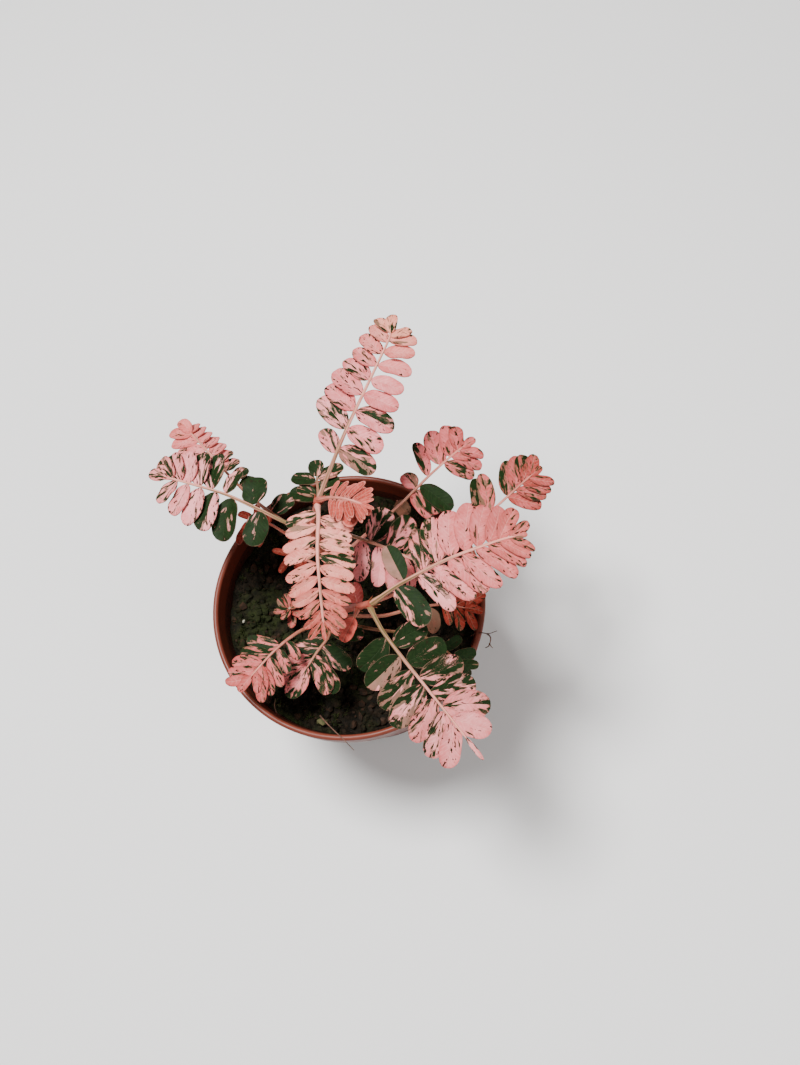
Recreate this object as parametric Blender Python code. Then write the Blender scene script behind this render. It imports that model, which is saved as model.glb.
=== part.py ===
"""Potted chamber bitter: a small plastic pot, its soil, two upright stems and their leafy fronds.

Frame: +Z up along the pot's axis, origin at the middle of the pot's underside, metres.
The plant's sizes below are written in millimetres and turned into metres by MM.
"""

import math
import random

import bmesh
import bpy
from mathutils import Matrix, Vector, noise

MM = 0.001
GAP = 0.3

# Pot, in millimetres
POT_HEIGHT = 75.0
POT_RIM_RADIUS = 42.5
POT_BASE_RADIUS = 30.0
POT_WALL = 1.6
POT_FLOOR = 2.0
COLLAR_HEIGHT = 11.0
COLLAR_STEP = 0.9
COLLAR_FLARE = 0.9
LIP_WIDTH = 1.8
FOOT_ROUNDING = 0.8
POT_SIDES = 44
DRAIN_HOLE_RADIUS = 3.0
DRAIN_HOLE_RING = 19.0
DRAIN_HOLES = 6

# Soil, in millimetres
SOIL_TOP = 66.5
SOIL_RINGS = 5
SOIL_SIDES = 32
SOIL_LUMPS = 1.3
SOIL_LUMP_SCALE = 0.13
SOIL_EDGE_FALL = 1.2
SOIL_SEED = 11
FACET_ALLOWANCE = 0.12
HOLE_DEPTH = 9.0
HOLE_SIDES = 10

# Stems and leaves, in millimetres
STEM_SIDES_RESOLUTION = 2
RACHIS_SIDES_RESOLUTION = 1
RACHIS_RADII = (0.75, 0.5)
LEAF_THICKNESS = 0.62
LEAF_STEM_WIDTH = 0.9
RACHIS_STEP = 6.5
LEAF_DROOP = 0.08
JOIN_SOLVER = "MANIFOLD"

# Leaf outline: place along the leaf, and width as a share of the greatest width
LEAF_OUTLINE = ((0.17, 0.70), (0.50, 1.0), (0.85, 0.84), (1.0, 0.34))
SMALL_LEAF_OUTLINE = ((0.28, 0.92), (0.78, 0.94), (1.0, 0.36))
SMALL_LEAF_LENGTH = 8.0

# Upright stems: route from the soil to the top node, with the radius at its foot and at its top
STEMS = {
    "main_stem_left": {
        "route": ((-3.2, 4.9, 66.5), (-4.0, 8.0, 78.0), (-6.0, 13.0, 92.0), (-6.5, 15.2, 100.0),
                  (-3.3, 18.8, 112.4)),
        "radii": (1.7, 1.0),
    },
    "main_stem_right": {
        "route": ((-3.5, -5.7, 66.5), (-3.5, -6.5, 76.0), (-1.5, -7.6, 88.0), (4.0, -9.2, 99.0),
                  (11.6, -10.8, 108.4)),
        "radii": (1.6, 1.0),
    },
}


def row(first, last, count, lengths, angles, widths, lift=0.0):
    """A row of leaves: places on the rachis, lengths and angles at base, middle and tip, widths as shares."""
    return {"first": first, "last": last, "count": count, "lengths": lengths, "angles": angles,
            "widths": widths, "lift": lift}


# Fronds: the stem and height they grow from, the rachis's route after that, their rows of leaves, the length
# and width share of the end leaf, the tilt of the leaves about their own length, and single leaves set apart
# from the rows: side (1 left, -1 right), place along the rachis, length, angle and width share
FRONDS = {
    "frond_back": {
        "stem": "main_stem_left", "height": 111.2,
        "route": ((0.6, 27.7, 114.5), (5.4, 38.7, 117.0), (11.2, 51.5, 118.0), (17.3, 66.5, 117.5),
                  (17.6, 69.0, 117.1)),
        "left": row(20, 53, 8, (12.6, 10.2, 7.4), (56, 66, 44), (0.54, 0.58)),
        "right": row(14.5, 54, 9, (12.8, 10.8, 7.2), (100, 88, 56), (0.50, 0.55)),
        "lone_leaves": ((1, 12.5, 8.6, 50, 0.62),),
        "end_leaf": (8.0, 0.46), "louvre": 16,
    },
    "frond_front": {
        "stem": "main_stem_left", "height": 111.2,
        "route": ((-2.7, 13.5, 113.6), (-2.4, 2.3, 115.2), (-1.7, -7.3, 113.6), (-1.2, -16.6, 109.6)),
        "left": row(5, 34, 10, (10.0, 10.2, 6.4), (68, 66, 38), (0.46, 0.38)),
        "right": row(3, 34, 10, (9.4, 9.8, 6.4), (78, 67, 40), (0.46, 0.38)),
        "end_leaf": (5.5, 0.38), "louvre": 16,
    },
    "shoot_top": {
        "stem": "main_stem_left", "height": 112.4,
        "route": ((1.3, 18.2, 115.2), (6.0, 16.2, 118.4), (10.6, 14.0, 119.8)),
        "left": row(3.5, 14, 8, (5.6, 7.2, 5.0), (76, 52, 32), (0.30, 0.30)),
        "right": row(3.5, 14, 8, (6.6, 8.2, 5.4), (72, 46, 26), (0.30, 0.30)),
        "lone_leaves": ((1, 4.6, 10.0, 34, 0.60), (-1, 8.0, 10.0, 44, 0.60), (-1, 11.0, 8.0, 16, 0.56)),
        "lone_lift": -24.0,
        "end_leaf": (4.6, 0.30), "louvre": 22,
    },
    "frond_left": {
        "stem": "main_stem_left", "height": 100.0,
        "route": ((-12.6, 15.4, 102.5), (-20.8, 19.0, 105.0), (-31.3, 24.1, 106.0), (-41.4, 28.1, 104.8),
                  (-51.2, 31.8, 103.3)),
        "left": row(24, 42.5, 5, (13.8, 12.2, 9.4), (102, 92, 66), (0.58, 0.60)),
        "right": row(30.5, 44, 5, (12.4, 11.6, 9.0), (72, 52, 34), (0.62, 0.60)),
        "lone_leaves": ((1, 14.4, 10.8, 104, 0.68), (-1, 17.4, 9.2, 70, 0.82), (-1, 26.2, 8.4, 96, 0.56)),
        "end_leaf": (7.0, 0.56), "louvre": 15,
    },
    "frond_far_left": {
        "stem": "main_stem_left", "height": 94.0,
        "route": ((-16.0, 19.0, 95.0), (-26.6, 27.2, 95.8), (-35.0, 36.1, 95.5), (-40.2, 42.2, 95.0),
                  (-48.2, 51.6, 92.5)),
        "left": row(40.5, 54, 4, (9.8, 10.2, 8.4), (52, 46, 36), (0.52, 0.50)),
        "right": row(27, 55, 9, (6.2, 7.0, 6.4), (66, 60, 40), (0.72, 0.62), lift=-20.0),
        "lone_leaves": ((-1, 14.4, 7.8, 98, 0.76),),
        "end_leaf": (8.0, 0.50), "louvre": 5,
    },
    "frond_right": {
        "stem": "main_stem_right", "height": 108.4,
        "route": ((18.7, -6.9, 111.0), (30.2, -1.8, 114.0), (40.2, 1.8, 115.0), (48.5, 4.8, 114.0),
                  (51.5, 5.6, 113.4)),
        "left": row(16, 41, 8, (12.2, 13.6, 8.0), (74, 63, 26), (0.50, 0.46)),
        "right": row(14.5, 41, 8, (14.2, 13.6, 8.0), (68, 57, 38), (0.44, 0.42)),
        "lone_leaves": ((1, 10.0, 12.0, 90, 0.52), (-1, 7.6, 13.6, 78, 0.60)),
        "end_leaf": (4.5, 0.46), "louvre": 17,
    },
    "frond_front_right": {
        "stem": "main_stem_right", "height": 107.4,
        "route": ((15.0, -18.8, 108.6), (19.9, -25.5, 107.4), (28.1, -35.8, 104.8), (36.8, -46.8, 101.3)),
        "left": row(11.5, 36.5, 6, (10.6, 13.0, 12.0), (80, 64, 36), (0.58, 0.58)),
        "right": row(9.5, 37.5, 7, (11.6, 13.2, 12.0), (80, 72, 42), (0.58, 0.48)),
        "end_leaf": (8.0, 0.16), "louvre": 15,
    },
    "frond_front_left": {
        "stem": "main_stem_right", "height": 78.0,
        "route": ((-11.6, -12.0, 87.0), (-18.7, -18.3, 89.4), (-26.0, -26.4, 89.0)),
        "left": row(16, 34, 7, (7.0, 9.8, 6.8), (78, 60, 42), (0.40, 0.42)),
        "right": row(18.5, 33, 6, (9.8, 9.2, 6.8), (52, 48, 34), (0.42, 0.40)),
        "end_leaf": (6.0, 0.46), "louvre": 16,
    },
    "frond_front_low": {
        "stem": "main_stem_right", "height": 81.0,
        "route": ((-4.4, -13.6, 83.5), (-7.3, -17.8, 84.0), (-10.6, -22.6, 83.2)),
        "left": row(2.5, 17, 4, (10.4, 11.6, 12.6), (96, 82, 50), (0.52, 0.50)),
        "right": row(4, 16, 4, (7.6, 8.8, 9.6), (60, 52, 34), (0.50, 0.48)),
        "end_leaf": (11.0, 0.52), "louvre": 15,
    },
    "frond_back_right": {
        "stem": "main_stem_left", "height": 82.0,
        "route": ((3.7, 14.8, 86.0), (17.7, 24.6, 91.5), (26.0, 32.2, 93.5), (33.3, 38.9, 93.6),
                  (37.5, 42.6, 93.0)),
        "left": row(43.5, 53.5, 4, (13.0, 10.4, 6.4), (56, 50, 46), (0.52, 0.52)),
        "right": row(45, 53.5, 4, (10.4, 9.0, 5.8), (68, 58, 46), (0.50, 0.52)),
        "lone_leaves": ((1, 33.5, 6.4, 84, 0.80), (1, 38.5, 12.4, 64, 0.34),
                        (-1, 31.2, 9.8, 92, 0.46), (-1, 33.2, 10.2, 92, 0.50), (-1, 35.0, 12.4, 84, 0.48)),
        "end_leaf": (5.5, 0.50), "louvre": 15,
    },
    "frond_far_right": {
        "stem": "main_stem_right", "height": 89.5,
        "route": ((18.0, -2.4, 92.5), (34.3, 10.2, 95.0), (46.1, 20.8, 96.0), (54.0, 28.2, 95.5),
                  (57.6, 31.6, 95.0)),
        "left": row(59.6, 71, 5, (11.4, 9.6, 6.4), (44, 38, 24), (0.50, 0.50)),
        "right": row(59.5, 70.5, 5, (10.0, 8.8, 6.2), (58, 54, 40), (0.52, 0.50)),
        "lone_leaves": ((1, 4.6, 7.8, 92, 0.62), (1, 49.0, 13.8, 51, 0.36), (1, 51.8, 13.4, 53, 0.38)),
        "end_leaf": (5.0, 0.46), "louvre": 16,
    },
    "frond_middle": {
        "stem": "main_stem_left", "height": 100.0,
        "route": ((0.7, 13.2, 101.6), (10.0, 9.3, 103.0), (14.7, 7.5, 102.4), (21.5, 4.9, 100.3),
                  (25.5, 3.5, 98.6)),
        "left": row(17, 31, 4, (11.6, 12.0, 9.0), (86, 68, 50), (0.62, 0.56)),
        "right": row(14.4, 31, 5, (12.8, 12.0, 9.0), (68, 68, 52), (0.40, 0.42)),
        "end_leaf": (6.0, 0.46), "louvre": 14,
    },
    "shoot_left": {
        "stem": "main_stem_left", "height": 87.0,
        "route": ((-13.0, 15.4, 87.6), (-22.5, 21.4, 88.4), (-28.5, 24.0, 87.4)),
        "left": row(19, 27, 3, (8.0, 9.0, 7.0), (96, 80, 60), (0.40, 0.40)),
        "right": row(18, 26, 3, (5.0, 6.0, 5.0), (70, 60, 45), (0.40, 0.40)),
        "end_leaf": (6.0, 0.40), "louvre": 16,
    },
    "frond_back_low": {
        "stem": "main_stem_left", "height": 89.5,
        "route": ((-7.4, 18.5, 90.0), (-7.0, 27.0, 91.0), (-7.8, 36.0, 91.2)),
        "left": row(14, 24, 3, (9.8, 8.4, 7.4), (66, 72, 60), (0.56, 0.56)),
        "right": row(15, 24.5, 3, (9.4, 9.4, 8.6), (76, 66, 50), (0.50, 0.56)),
        "end_leaf": (6.0, 0.80), "louvre": 14,
    },
    "shoot_left_low": {
        "stem": "main_stem_left", "height": 78.0,
        "route": ((-11.2, 11.6, 80.5), (-18.4, 13.8, 81.6)),
        "left": row(8, 14, 3, (6.0, 6.6, 5.0), (84, 66, 46), (0.36, 0.36)),
        "right": row(8, 14, 3, (5.0, 6.0, 5.0), (84, 66, 46), (0.36, 0.36)),
        "end_leaf": (5.5, 0.36), "louvre": 18,
    },
    "shoot_right_low": {
        "stem": "main_stem_right", "height": 85.5,
        "route": ((12.5, -8.4, 87.6), (22.0, -6.8, 89.6), (31.0, -6.2, 90.2), (37.0, -7.4, 89.6)),
        "left": row(30, 40, 4, (7.5, 8.0, 6.0), (74, 56, 36), (0.42, 0.40)),
        "right": row(31, 40, 4, (6.6, 7.4, 6.0), (78, 60, 38), (0.42, 0.40)),
        "lone_leaves": ((-1, 26.5, 8.2, 82, 0.56),),
        "end_leaf": (6.0, 0.40), "louvre": 18,
    },
    "shoot_right_side": {
        "stem": "main_stem_right", "height": 74.0,
        "route": ((10.0, -10.6, 80.4), (24.0, -13.8, 83.4), (31.0, -18.6, 83.6), (34.5, -22.4, 83.2)),
        "left": row(35, 41, 3, (6.6, 7.4, 6.0), (66, 56, 42), (0.50, 0.48)),
        "right": row(29, 40, 4, (8.0, 8.0, 6.0), (80, 66, 46), (0.50, 0.48)),
        "end_leaf": (5.5, 0.48), "louvre": 15,
    },
    "shoot_middle": {
        "stem": "main_stem_right", "height": 103.5,
        "route": ((6.6, -12.8, 103.9), (6.1, -13.8, 103.8)),
        "end_leaf": (7.8, 0.56),
    },
}

# Seedling beside the stems, in millimetres
SEEDLING_PLACE = (-18.5, -1.0)
SEEDLING_TOP = 73.0
SEEDLING_RADIUS = 0.7
SEEDLING_PLUMPNESS = 0.45
SEEDLING_LEAVES = 9
SEEDLING_LEAF_LENGTHS = (6.4, 4.8)
SEEDLING_LEAF_TURN = 137.5
SEEDLING_FIRST_LEAF = 68.3
SEEDLING_LAST_LEAF = 72.4
SEEDLING_LEAF_RISE = (12.0, 36.0)

# Leaves stand closer towards a frond's tip, and each differs a little from its row, by shares and degrees
CROWDING = 0.25
LEAF_JITTER_SEED = 5
LENGTH_JITTER = 0.05
ANGLE_JITTER = 3.0
LIFT_JITTER = 2.5
LOUVRE_JITTER = 2.0
END_LEAF_ROOT = 1.0

# Base colour, roughness and metallic value of each finish
FINISHES = {
    "red_brown_plastic": ((0.27, 0.07, 0.04, 1.0), 0.45, 0.0),
    "dark_soil": ((0.012, 0.012, 0.008, 1.0), 0.95, 0.0),
    "red_green_stem": ((0.40, 0.14, 0.09, 1.0), 0.55, 0.0),
    "variegated_leaf": ((0.72, 0.36, 0.32, 1.0), 0.55, 0.0),
    "young_coral_leaf": ((0.62, 0.16, 0.12, 1.0), 0.5, 0.0),
}
YOUNG_SHOOTS = ("shoot_top", "shoot_left", "shoot_left_low", "shoot_right_low", "shoot_middle")


def clear_scene():
    for item in list(bpy.data.objects):
        bpy.data.objects.remove(item, do_unlink=True)


def finish_material(name):
    material = bpy.data.materials.get(name)
    if material is None:
        colour, roughness, metallic = FINISHES[name]
        material = bpy.data.materials.new(name)
        material.use_nodes = True
        shader = material.node_tree.nodes["Principled BSDF"]
        shader.inputs["Base Color"].default_value = colour
        shader.inputs["Roughness"].default_value = roughness
        shader.inputs["Metallic"].default_value = metallic
        material.diffuse_color = colour
    return material


def object_from_bmesh(name, shape, finish, smooth_angle=None):
    """Make a scene object from a bmesh drawn in millimetres."""
    bmesh.ops.scale(shape, vec=(MM, MM, MM), verts=shape.verts)
    bmesh.ops.recalc_face_normals(shape, faces=shape.faces)
    mesh = bpy.data.meshes.new(name)
    shape.to_mesh(mesh)
    shape.free()
    mesh.materials.append(finish_material(finish))
    if smooth_angle is not None:
        mesh.shade_smooth()
        mesh.set_sharp_from_angle(angle=math.radians(smooth_angle))
    made = bpy.data.objects.new(name, mesh)
    bpy.context.scene.collection.objects.link(made)
    return made


def replace_mesh(item, mesh):
    """Give an object a new mesh with the same material, and drop its modifiers and old data."""
    materials = list(item.data.materials)
    item.modifiers.clear()
    item.data = mesh
    mesh.materials.clear()
    for material in materials:
        mesh.materials.append(material)


def evaluated_mesh(item):
    graph = bpy.context.evaluated_depsgraph_get()
    graph.update()
    return bpy.data.meshes.new_from_object(item.evaluated_get(graph))


def island_volume(faces):
    return sum(face.verts[0].co.cross(face.verts[1].co).dot(face.verts[2].co) for face in faces) / 6.0


def keep_main_body(mesh):
    """Keep the largest connected skin, so that sealed hollows are filled and loose scraps dropped."""
    shape = bmesh.new()
    shape.from_mesh(mesh)
    bmesh.ops.triangulate(shape, faces=shape.faces)
    waiting = set(shape.faces)
    islands = []
    while waiting:
        seed = waiting.pop()
        island = [seed]
        front = [seed]
        while front:
            face = front.pop()
            for edge in face.edges:
                for other in edge.link_faces:
                    if other in waiting:
                        waiting.remove(other)
                        island.append(other)
                        front.append(other)
        islands.append(island)
    islands.sort(key=island_volume, reverse=True)
    spare = [face for island in islands[1:] for face in island]
    bmesh.ops.delete(shape, geom=spare, context="FACES")
    shape.to_mesh(mesh)
    shape.free()


def join_collection(base, collection, operation="UNION", solver="EXACT"):
    """One Boolean between an object and a collection, applied, with the collection's objects removed."""
    boolean = base.modifiers.new("Join", "BOOLEAN")
    boolean.operation = operation
    boolean.operand_type = "COLLECTION"
    boolean.collection = collection
    boolean.solver = solver
    replace_mesh(base, evaluated_mesh(base))
    for item in list(collection.objects):
        bpy.data.objects.remove(item, do_unlink=True)
    bpy.data.collections.remove(collection)


def move_to_collection(item, collection):
    for owner in list(item.users_collection):
        owner.objects.unlink(item)
    collection.objects.link(item)


def smooth_route(points, step):
    """Points about one step apart along a smooth curve through the given ones."""
    corners = [Vector(point) for point in points]
    before = corners[0] * 2 - corners[1]
    after = corners[-1] * 2 - corners[-2]
    ring = [before] + corners + [after]
    route = [corners[0]]
    for index in range(1, len(ring) - 2):
        a, b, c, d = ring[index - 1:index + 3]
        pieces = max(1, round((c - b).length / step))
        for piece in range(1, pieces + 1):
            t = piece / pieces
            route.append(0.5 * (2 * b + (c - a) * t + (2 * a - 5 * b + 4 * c - d) * t * t
                                + (3 * b - a - 3 * c + d) * t ** 3))
    return route


def point_along(route, distance):
    """Place and direction at a distance along a route."""
    left = distance
    for start, end in zip(route, route[1:]):
        length = (end - start).length
        if left <= length:
            break
        left -= length
    direction = (end - start).normalized()
    return start + direction * left, direction


def route_length(route):
    return sum((end - start).length for start, end in zip(route, route[1:]))


def stem_at_height(name, height):
    """Centre, direction and radius of an upright stem at a height."""
    route = smooth_route(STEMS[name]["route"], RACHIS_STEP)
    foot_radius, top_radius = STEMS[name]["radii"]
    for start, end in zip(route, route[1:]):
        if start.z <= height <= end.z:
            break
    share = (height - start.z) / (end.z - start.z)
    rise = (height - route[0].z) / (route[-1].z - route[0].z)
    radius = foot_radius + (top_radius - foot_radius) * rise
    return start.lerp(end, share), (end - start).normalized(), radius


def tube(name, route, radii, finish, resolution):
    """A tapered tube with closed ends along a route."""
    curve = bpy.data.curves.new(name, "CURVE")
    curve.dimensions = "3D"
    curve.bevel_depth = MM
    curve.bevel_resolution = resolution
    curve.use_fill_caps = True
    spline = curve.splines.new("POLY")
    spline.points.add(len(route) - 1)
    for index, (knot, place) in enumerate(zip(spline.points, route)):
        share = index / (len(route) - 1)
        knot.co = (place.x * MM, place.y * MM, place.z * MM, 1.0)
        knot.radius = radii[0] + (radii[1] - radii[0]) * share
    guide = bpy.data.objects.new(name, curve)
    bpy.context.scene.collection.objects.link(guide)
    shape = bmesh.new()
    shape.from_mesh(evaluated_mesh(guide))
    bpy.data.objects.remove(guide, do_unlink=True)
    bmesh.ops.remove_doubles(shape, verts=shape.verts, dist=0.00001)
    bmesh.ops.scale(shape, vec=(1 / MM, 1 / MM, 1 / MM), verts=shape.verts)
    return object_from_bmesh(name, shape, finish, smooth_angle=50)


def leaf(name, place, length, width, finish, droop):
    """A flat oblong blade with a narrow root; place's columns run along it, across it and up from it."""
    outline = SMALL_LEAF_OUTLINE if length < SMALL_LEAF_LENGTH else LEAF_OUTLINE
    stations = ((0.0, LEAF_STEM_WIDTH / 2),) + tuple((along, share * width / 2) for along, share in outline)

    def corner(along, across):
        fall = droop * length * along * along
        return place @ Vector((along * length, across, -fall - LEAF_THICKNESS / 2))

    shape = bmesh.new()
    pairs = [(shape.verts.new(corner(along, half)), shape.verts.new(corner(along, -half)))
             for along, half in stations]
    for (left_a, right_a), (left_b, right_b) in zip(pairs, pairs[1:]):
        shape.faces.new((left_a, right_a, right_b))
        shape.faces.new((left_a, right_b, left_b))
    grown = bmesh.ops.extrude_face_region(shape, geom=list(shape.faces))
    upper = [part for part in grown["geom"] if isinstance(part, bmesh.types.BMVert)]
    bmesh.ops.translate(shape, verts=upper, vec=place.to_3x3() @ Vector((0, 0, LEAF_THICKNESS)))
    return object_from_bmesh(name, shape, finish)


def blend_three(values, share):
    """A smooth value through a start, a middle and an end."""
    start, middle, end = values
    return (start * (1 - share) * (1 - 2 * share) + 4 * middle * share * (1 - share)
            + end * share * (2 * share - 1))


def leaf_place(route, distance, angle, side, lift, louvre):
    """Frame of a leaf that leaves the rachis at an angle to its forward direction."""
    root, forward = point_along(route, distance)
    up = (Vector((0, 0, 1)) - forward * forward.z).normalized()
    sideways = up.cross(forward) * side
    along = forward * math.cos(math.radians(angle)) + sideways * math.sin(math.radians(angle))
    along = (along * math.cos(math.radians(lift)) + up * math.sin(math.radians(lift))).normalized()
    across = up.cross(along).normalized()
    normal = along.cross(across)
    frame = Matrix((along, across, normal)).transposed()
    frame = frame @ Matrix.Rotation(math.radians(louvre * side), 3, "X")
    return Matrix.Translation(root) @ frame.to_4x4()


def row_leaves(spec, side, route, louvre, chance):
    """Places, lengths and widths of one row's leaves, each a little off its rule."""
    leaves = []
    base_width, tip_width = spec["widths"]
    for index in range(spec["count"]):
        share = index / (spec["count"] - 1)
        spread = share * (1 + CROWDING * (1 - share))
        distance = spec["first"] + (spec["last"] - spec["first"]) * spread
        length = blend_three(spec["lengths"], share) * (1 + chance.uniform(-LENGTH_JITTER, LENGTH_JITTER))
        angle = blend_three(spec["angles"], share) + chance.uniform(-ANGLE_JITTER, ANGLE_JITTER)
        lift = spec["lift"] + chance.uniform(-LIFT_JITTER, LIFT_JITTER)
        turn = louvre + chance.uniform(-LOUVRE_JITTER, LOUVRE_JITTER)
        width = length * (base_width + (tip_width - base_width) * share)
        leaves.append((leaf_place(route, distance, angle, side, lift, turn), length, width))
    return leaves


def frond_leaves(name, route):
    """Places, lengths and widths of all the leaves of a frond."""
    frond = FRONDS[name]
    chance = random.Random(LEAF_JITTER_SEED + list(FRONDS).index(name))
    leaves = []
    for side, key in ((1, "left"), (-1, "right")):
        if key in frond:
            leaves += row_leaves(frond[key], side, route, frond["louvre"], chance)
    for side, distance, length, angle, width in frond.get("lone_leaves", ()):
        place = leaf_place(route, distance, angle, side, frond.get("lone_lift", 0.0), frond["louvre"])
        leaves.append((place, length, length * width))
    length, width = frond["end_leaf"]
    place = leaf_place(route, route_length(route) - END_LEAF_ROOT, 0.0, 1, 0.0, 0.0)
    leaves.append((place, length, length * width))
    return leaves


def frond_route(name):
    """The rachis's route, from just clear of its stem's side, or of its stem's end."""
    frond = FRONDS[name]
    centre, upward, radius = stem_at_height(frond["stem"], frond["height"])
    first = Vector(frond["route"][0])
    forward = (first - centre).normalized()
    cosine = abs(forward.dot(upward))
    sine = math.sqrt(1 - cosine * cosine)
    if frond["height"] == STEMS[frond["stem"]]["route"][-1][2]:
        clear = (GAP + RACHIS_RADII[0] * sine) / cosine
    else:
        clear = (radius + GAP + RACHIS_RADII[0] * cosine) / sine
    return smooth_route((centre + forward * clear,) + frond["route"], RACHIS_STEP)


def make_frond(name):
    finish = "young_coral_leaf" if name in YOUNG_SHOOTS else "variegated_leaf"
    route = frond_route(name)
    rachis = tube(name, route, RACHIS_RADII, finish, RACHIS_SIDES_RESOLUTION)
    blades = bpy.data.collections.new(name + "_blades")
    for place, length, width in frond_leaves(name, route):
        blade = leaf(name + "_blade", place, length, width, finish, LEAF_DROOP)
        move_to_collection(blade, blades)
    join_collection(rachis, blades, solver=JOIN_SOLVER)
    keep_main_body(rachis.data)


def pot_outer_radius(height):
    wall_top = POT_HEIGHT - COLLAR_HEIGHT
    wall_top_radius = POT_RIM_RADIUS - COLLAR_STEP - COLLAR_FLARE
    return POT_BASE_RADIUS + (wall_top_radius - POT_BASE_RADIUS) * height / wall_top


def pot_inner_radius(height):
    return pot_outer_radius(height) - POT_WALL


def lathe(profile, sides):
    """A closed turned solid from (radius, height) points that start and end on the axis."""
    shape = bmesh.new()
    corners = [shape.verts.new((radius, 0.0, height)) for radius, height in profile]
    edges = [shape.edges.new(pair) for pair in zip(corners, corners[1:])]
    bmesh.ops.spin(shape, geom=corners + edges, cent=(0, 0, 0), axis=(0, 0, 1), steps=sides,
                   angle=math.tau, use_merge=True)
    bmesh.ops.remove_doubles(shape, verts=shape.verts, dist=0.001)
    return shape


def round_cutter(name, x, y, low, high, radius, sides):
    shape = bmesh.new()
    turned = Matrix.Translation((x, y, (low + high) / 2))
    bmesh.ops.create_cone(shape, cap_ends=True, segments=sides, radius1=radius, radius2=radius,
                          depth=high - low, matrix=turned)
    return object_from_bmesh(name, shape, "dark_soil")


def make_pot():
    collar_foot = POT_HEIGHT - COLLAR_HEIGHT
    lip_inner = POT_RIM_RADIUS - LIP_WIDTH
    lip_corner = LIP_WIDTH / 2 * (1 - math.sqrt(0.5))
    profile = (
        (0.0, 0.0),
        (POT_BASE_RADIUS - FOOT_ROUNDING, 0.0),
        (pot_outer_radius(FOOT_ROUNDING), FOOT_ROUNDING),
        (pot_outer_radius(collar_foot), collar_foot),
        (pot_outer_radius(collar_foot) + COLLAR_STEP, collar_foot + COLLAR_STEP),
        (POT_RIM_RADIUS, POT_HEIGHT - LIP_WIDTH / 2),
        (POT_RIM_RADIUS - lip_corner, POT_HEIGHT - lip_corner),
        (POT_RIM_RADIUS - LIP_WIDTH / 2, POT_HEIGHT),
        (lip_inner + lip_corner, POT_HEIGHT - lip_corner),
        (lip_inner, POT_HEIGHT - LIP_WIDTH / 2),
        (pot_inner_radius(collar_foot), collar_foot),
        (pot_inner_radius(POT_FLOOR), POT_FLOOR),
        (0.0, POT_FLOOR),
    )
    pot = object_from_bmesh("pot", lathe(profile, POT_SIDES), "red_brown_plastic", smooth_angle=40)
    drains = bpy.data.collections.new("drains")
    for index in range(DRAIN_HOLES):
        turn = math.tau * (index + 0.5) / DRAIN_HOLES
        drain = round_cutter("drain", DRAIN_HOLE_RING * math.cos(turn), DRAIN_HOLE_RING * math.sin(turn),
                             -POT_FLOOR, 2 * POT_FLOOR, DRAIN_HOLE_RADIUS, HOLE_SIDES)
        move_to_collection(drain, drains)
    join_collection(pot, drains, operation="DIFFERENCE")


def soil_height(x, y):
    """Lumpy top of the soil, lower at the wall."""
    reach = math.hypot(x, y) / pot_inner_radius(SOIL_TOP)
    lump = noise.noise(Vector((x, y, SOIL_SEED)) * SOIL_LUMP_SCALE) * SOIL_LUMPS
    return SOIL_TOP + lump - SOIL_EDGE_FALL * reach ** 4


def make_soil():
    low = POT_FLOOR + GAP
    wall_gap = GAP + FACET_ALLOWANCE
    rim = pot_inner_radius(SOIL_TOP) - wall_gap
    profile = [(0.0, low), (pot_inner_radius(low) - wall_gap, low), (rim, SOIL_TOP - SOIL_EDGE_FALL)]
    for ring in range(1, SOIL_RINGS + 1):
        profile.append((rim * (1 - ring / SOIL_RINGS), SOIL_TOP))
    shape = lathe(profile, SOIL_SIDES)
    for corner in shape.verts:
        if corner.co.z > SOIL_TOP - SOIL_EDGE_FALL / 2:
            corner.co.z = soil_height(corner.co.x, corner.co.y)
    soil = object_from_bmesh("soil", shape, "dark_soil")
    holes = bpy.data.collections.new("stem_holes")
    for name in STEMS:
        x, y, _ = STEMS[name]["route"][0]
        radius = STEMS[name]["radii"][0] + GAP + FACET_ALLOWANCE
        hole = round_cutter("hole", x, y, SOIL_TOP - HOLE_DEPTH, SOIL_TOP + HOLE_DEPTH, radius, HOLE_SIDES)
        move_to_collection(hole, holes)
    x, y = SEEDLING_PLACE
    radius = SEEDLING_RADIUS + GAP + FACET_ALLOWANCE
    hole = round_cutter("hole", x, y, SOIL_TOP - HOLE_DEPTH, SOIL_TOP + HOLE_DEPTH, radius, HOLE_SIDES)
    move_to_collection(hole, holes)
    join_collection(soil, holes, operation="DIFFERENCE")


def make_stem(name):
    """An upright stem that stands straight in its hole and leans above the soil."""
    spec = STEMS[name]
    foot = Vector(spec["route"][0])
    foot.z = SOIL_TOP - HOLE_DEPTH + GAP
    above = smooth_route(spec["route"], RACHIS_STEP)
    tube(name, [foot] + above, spec["radii"], "red_green_stem", STEM_SIDES_RESOLUTION)


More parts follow.
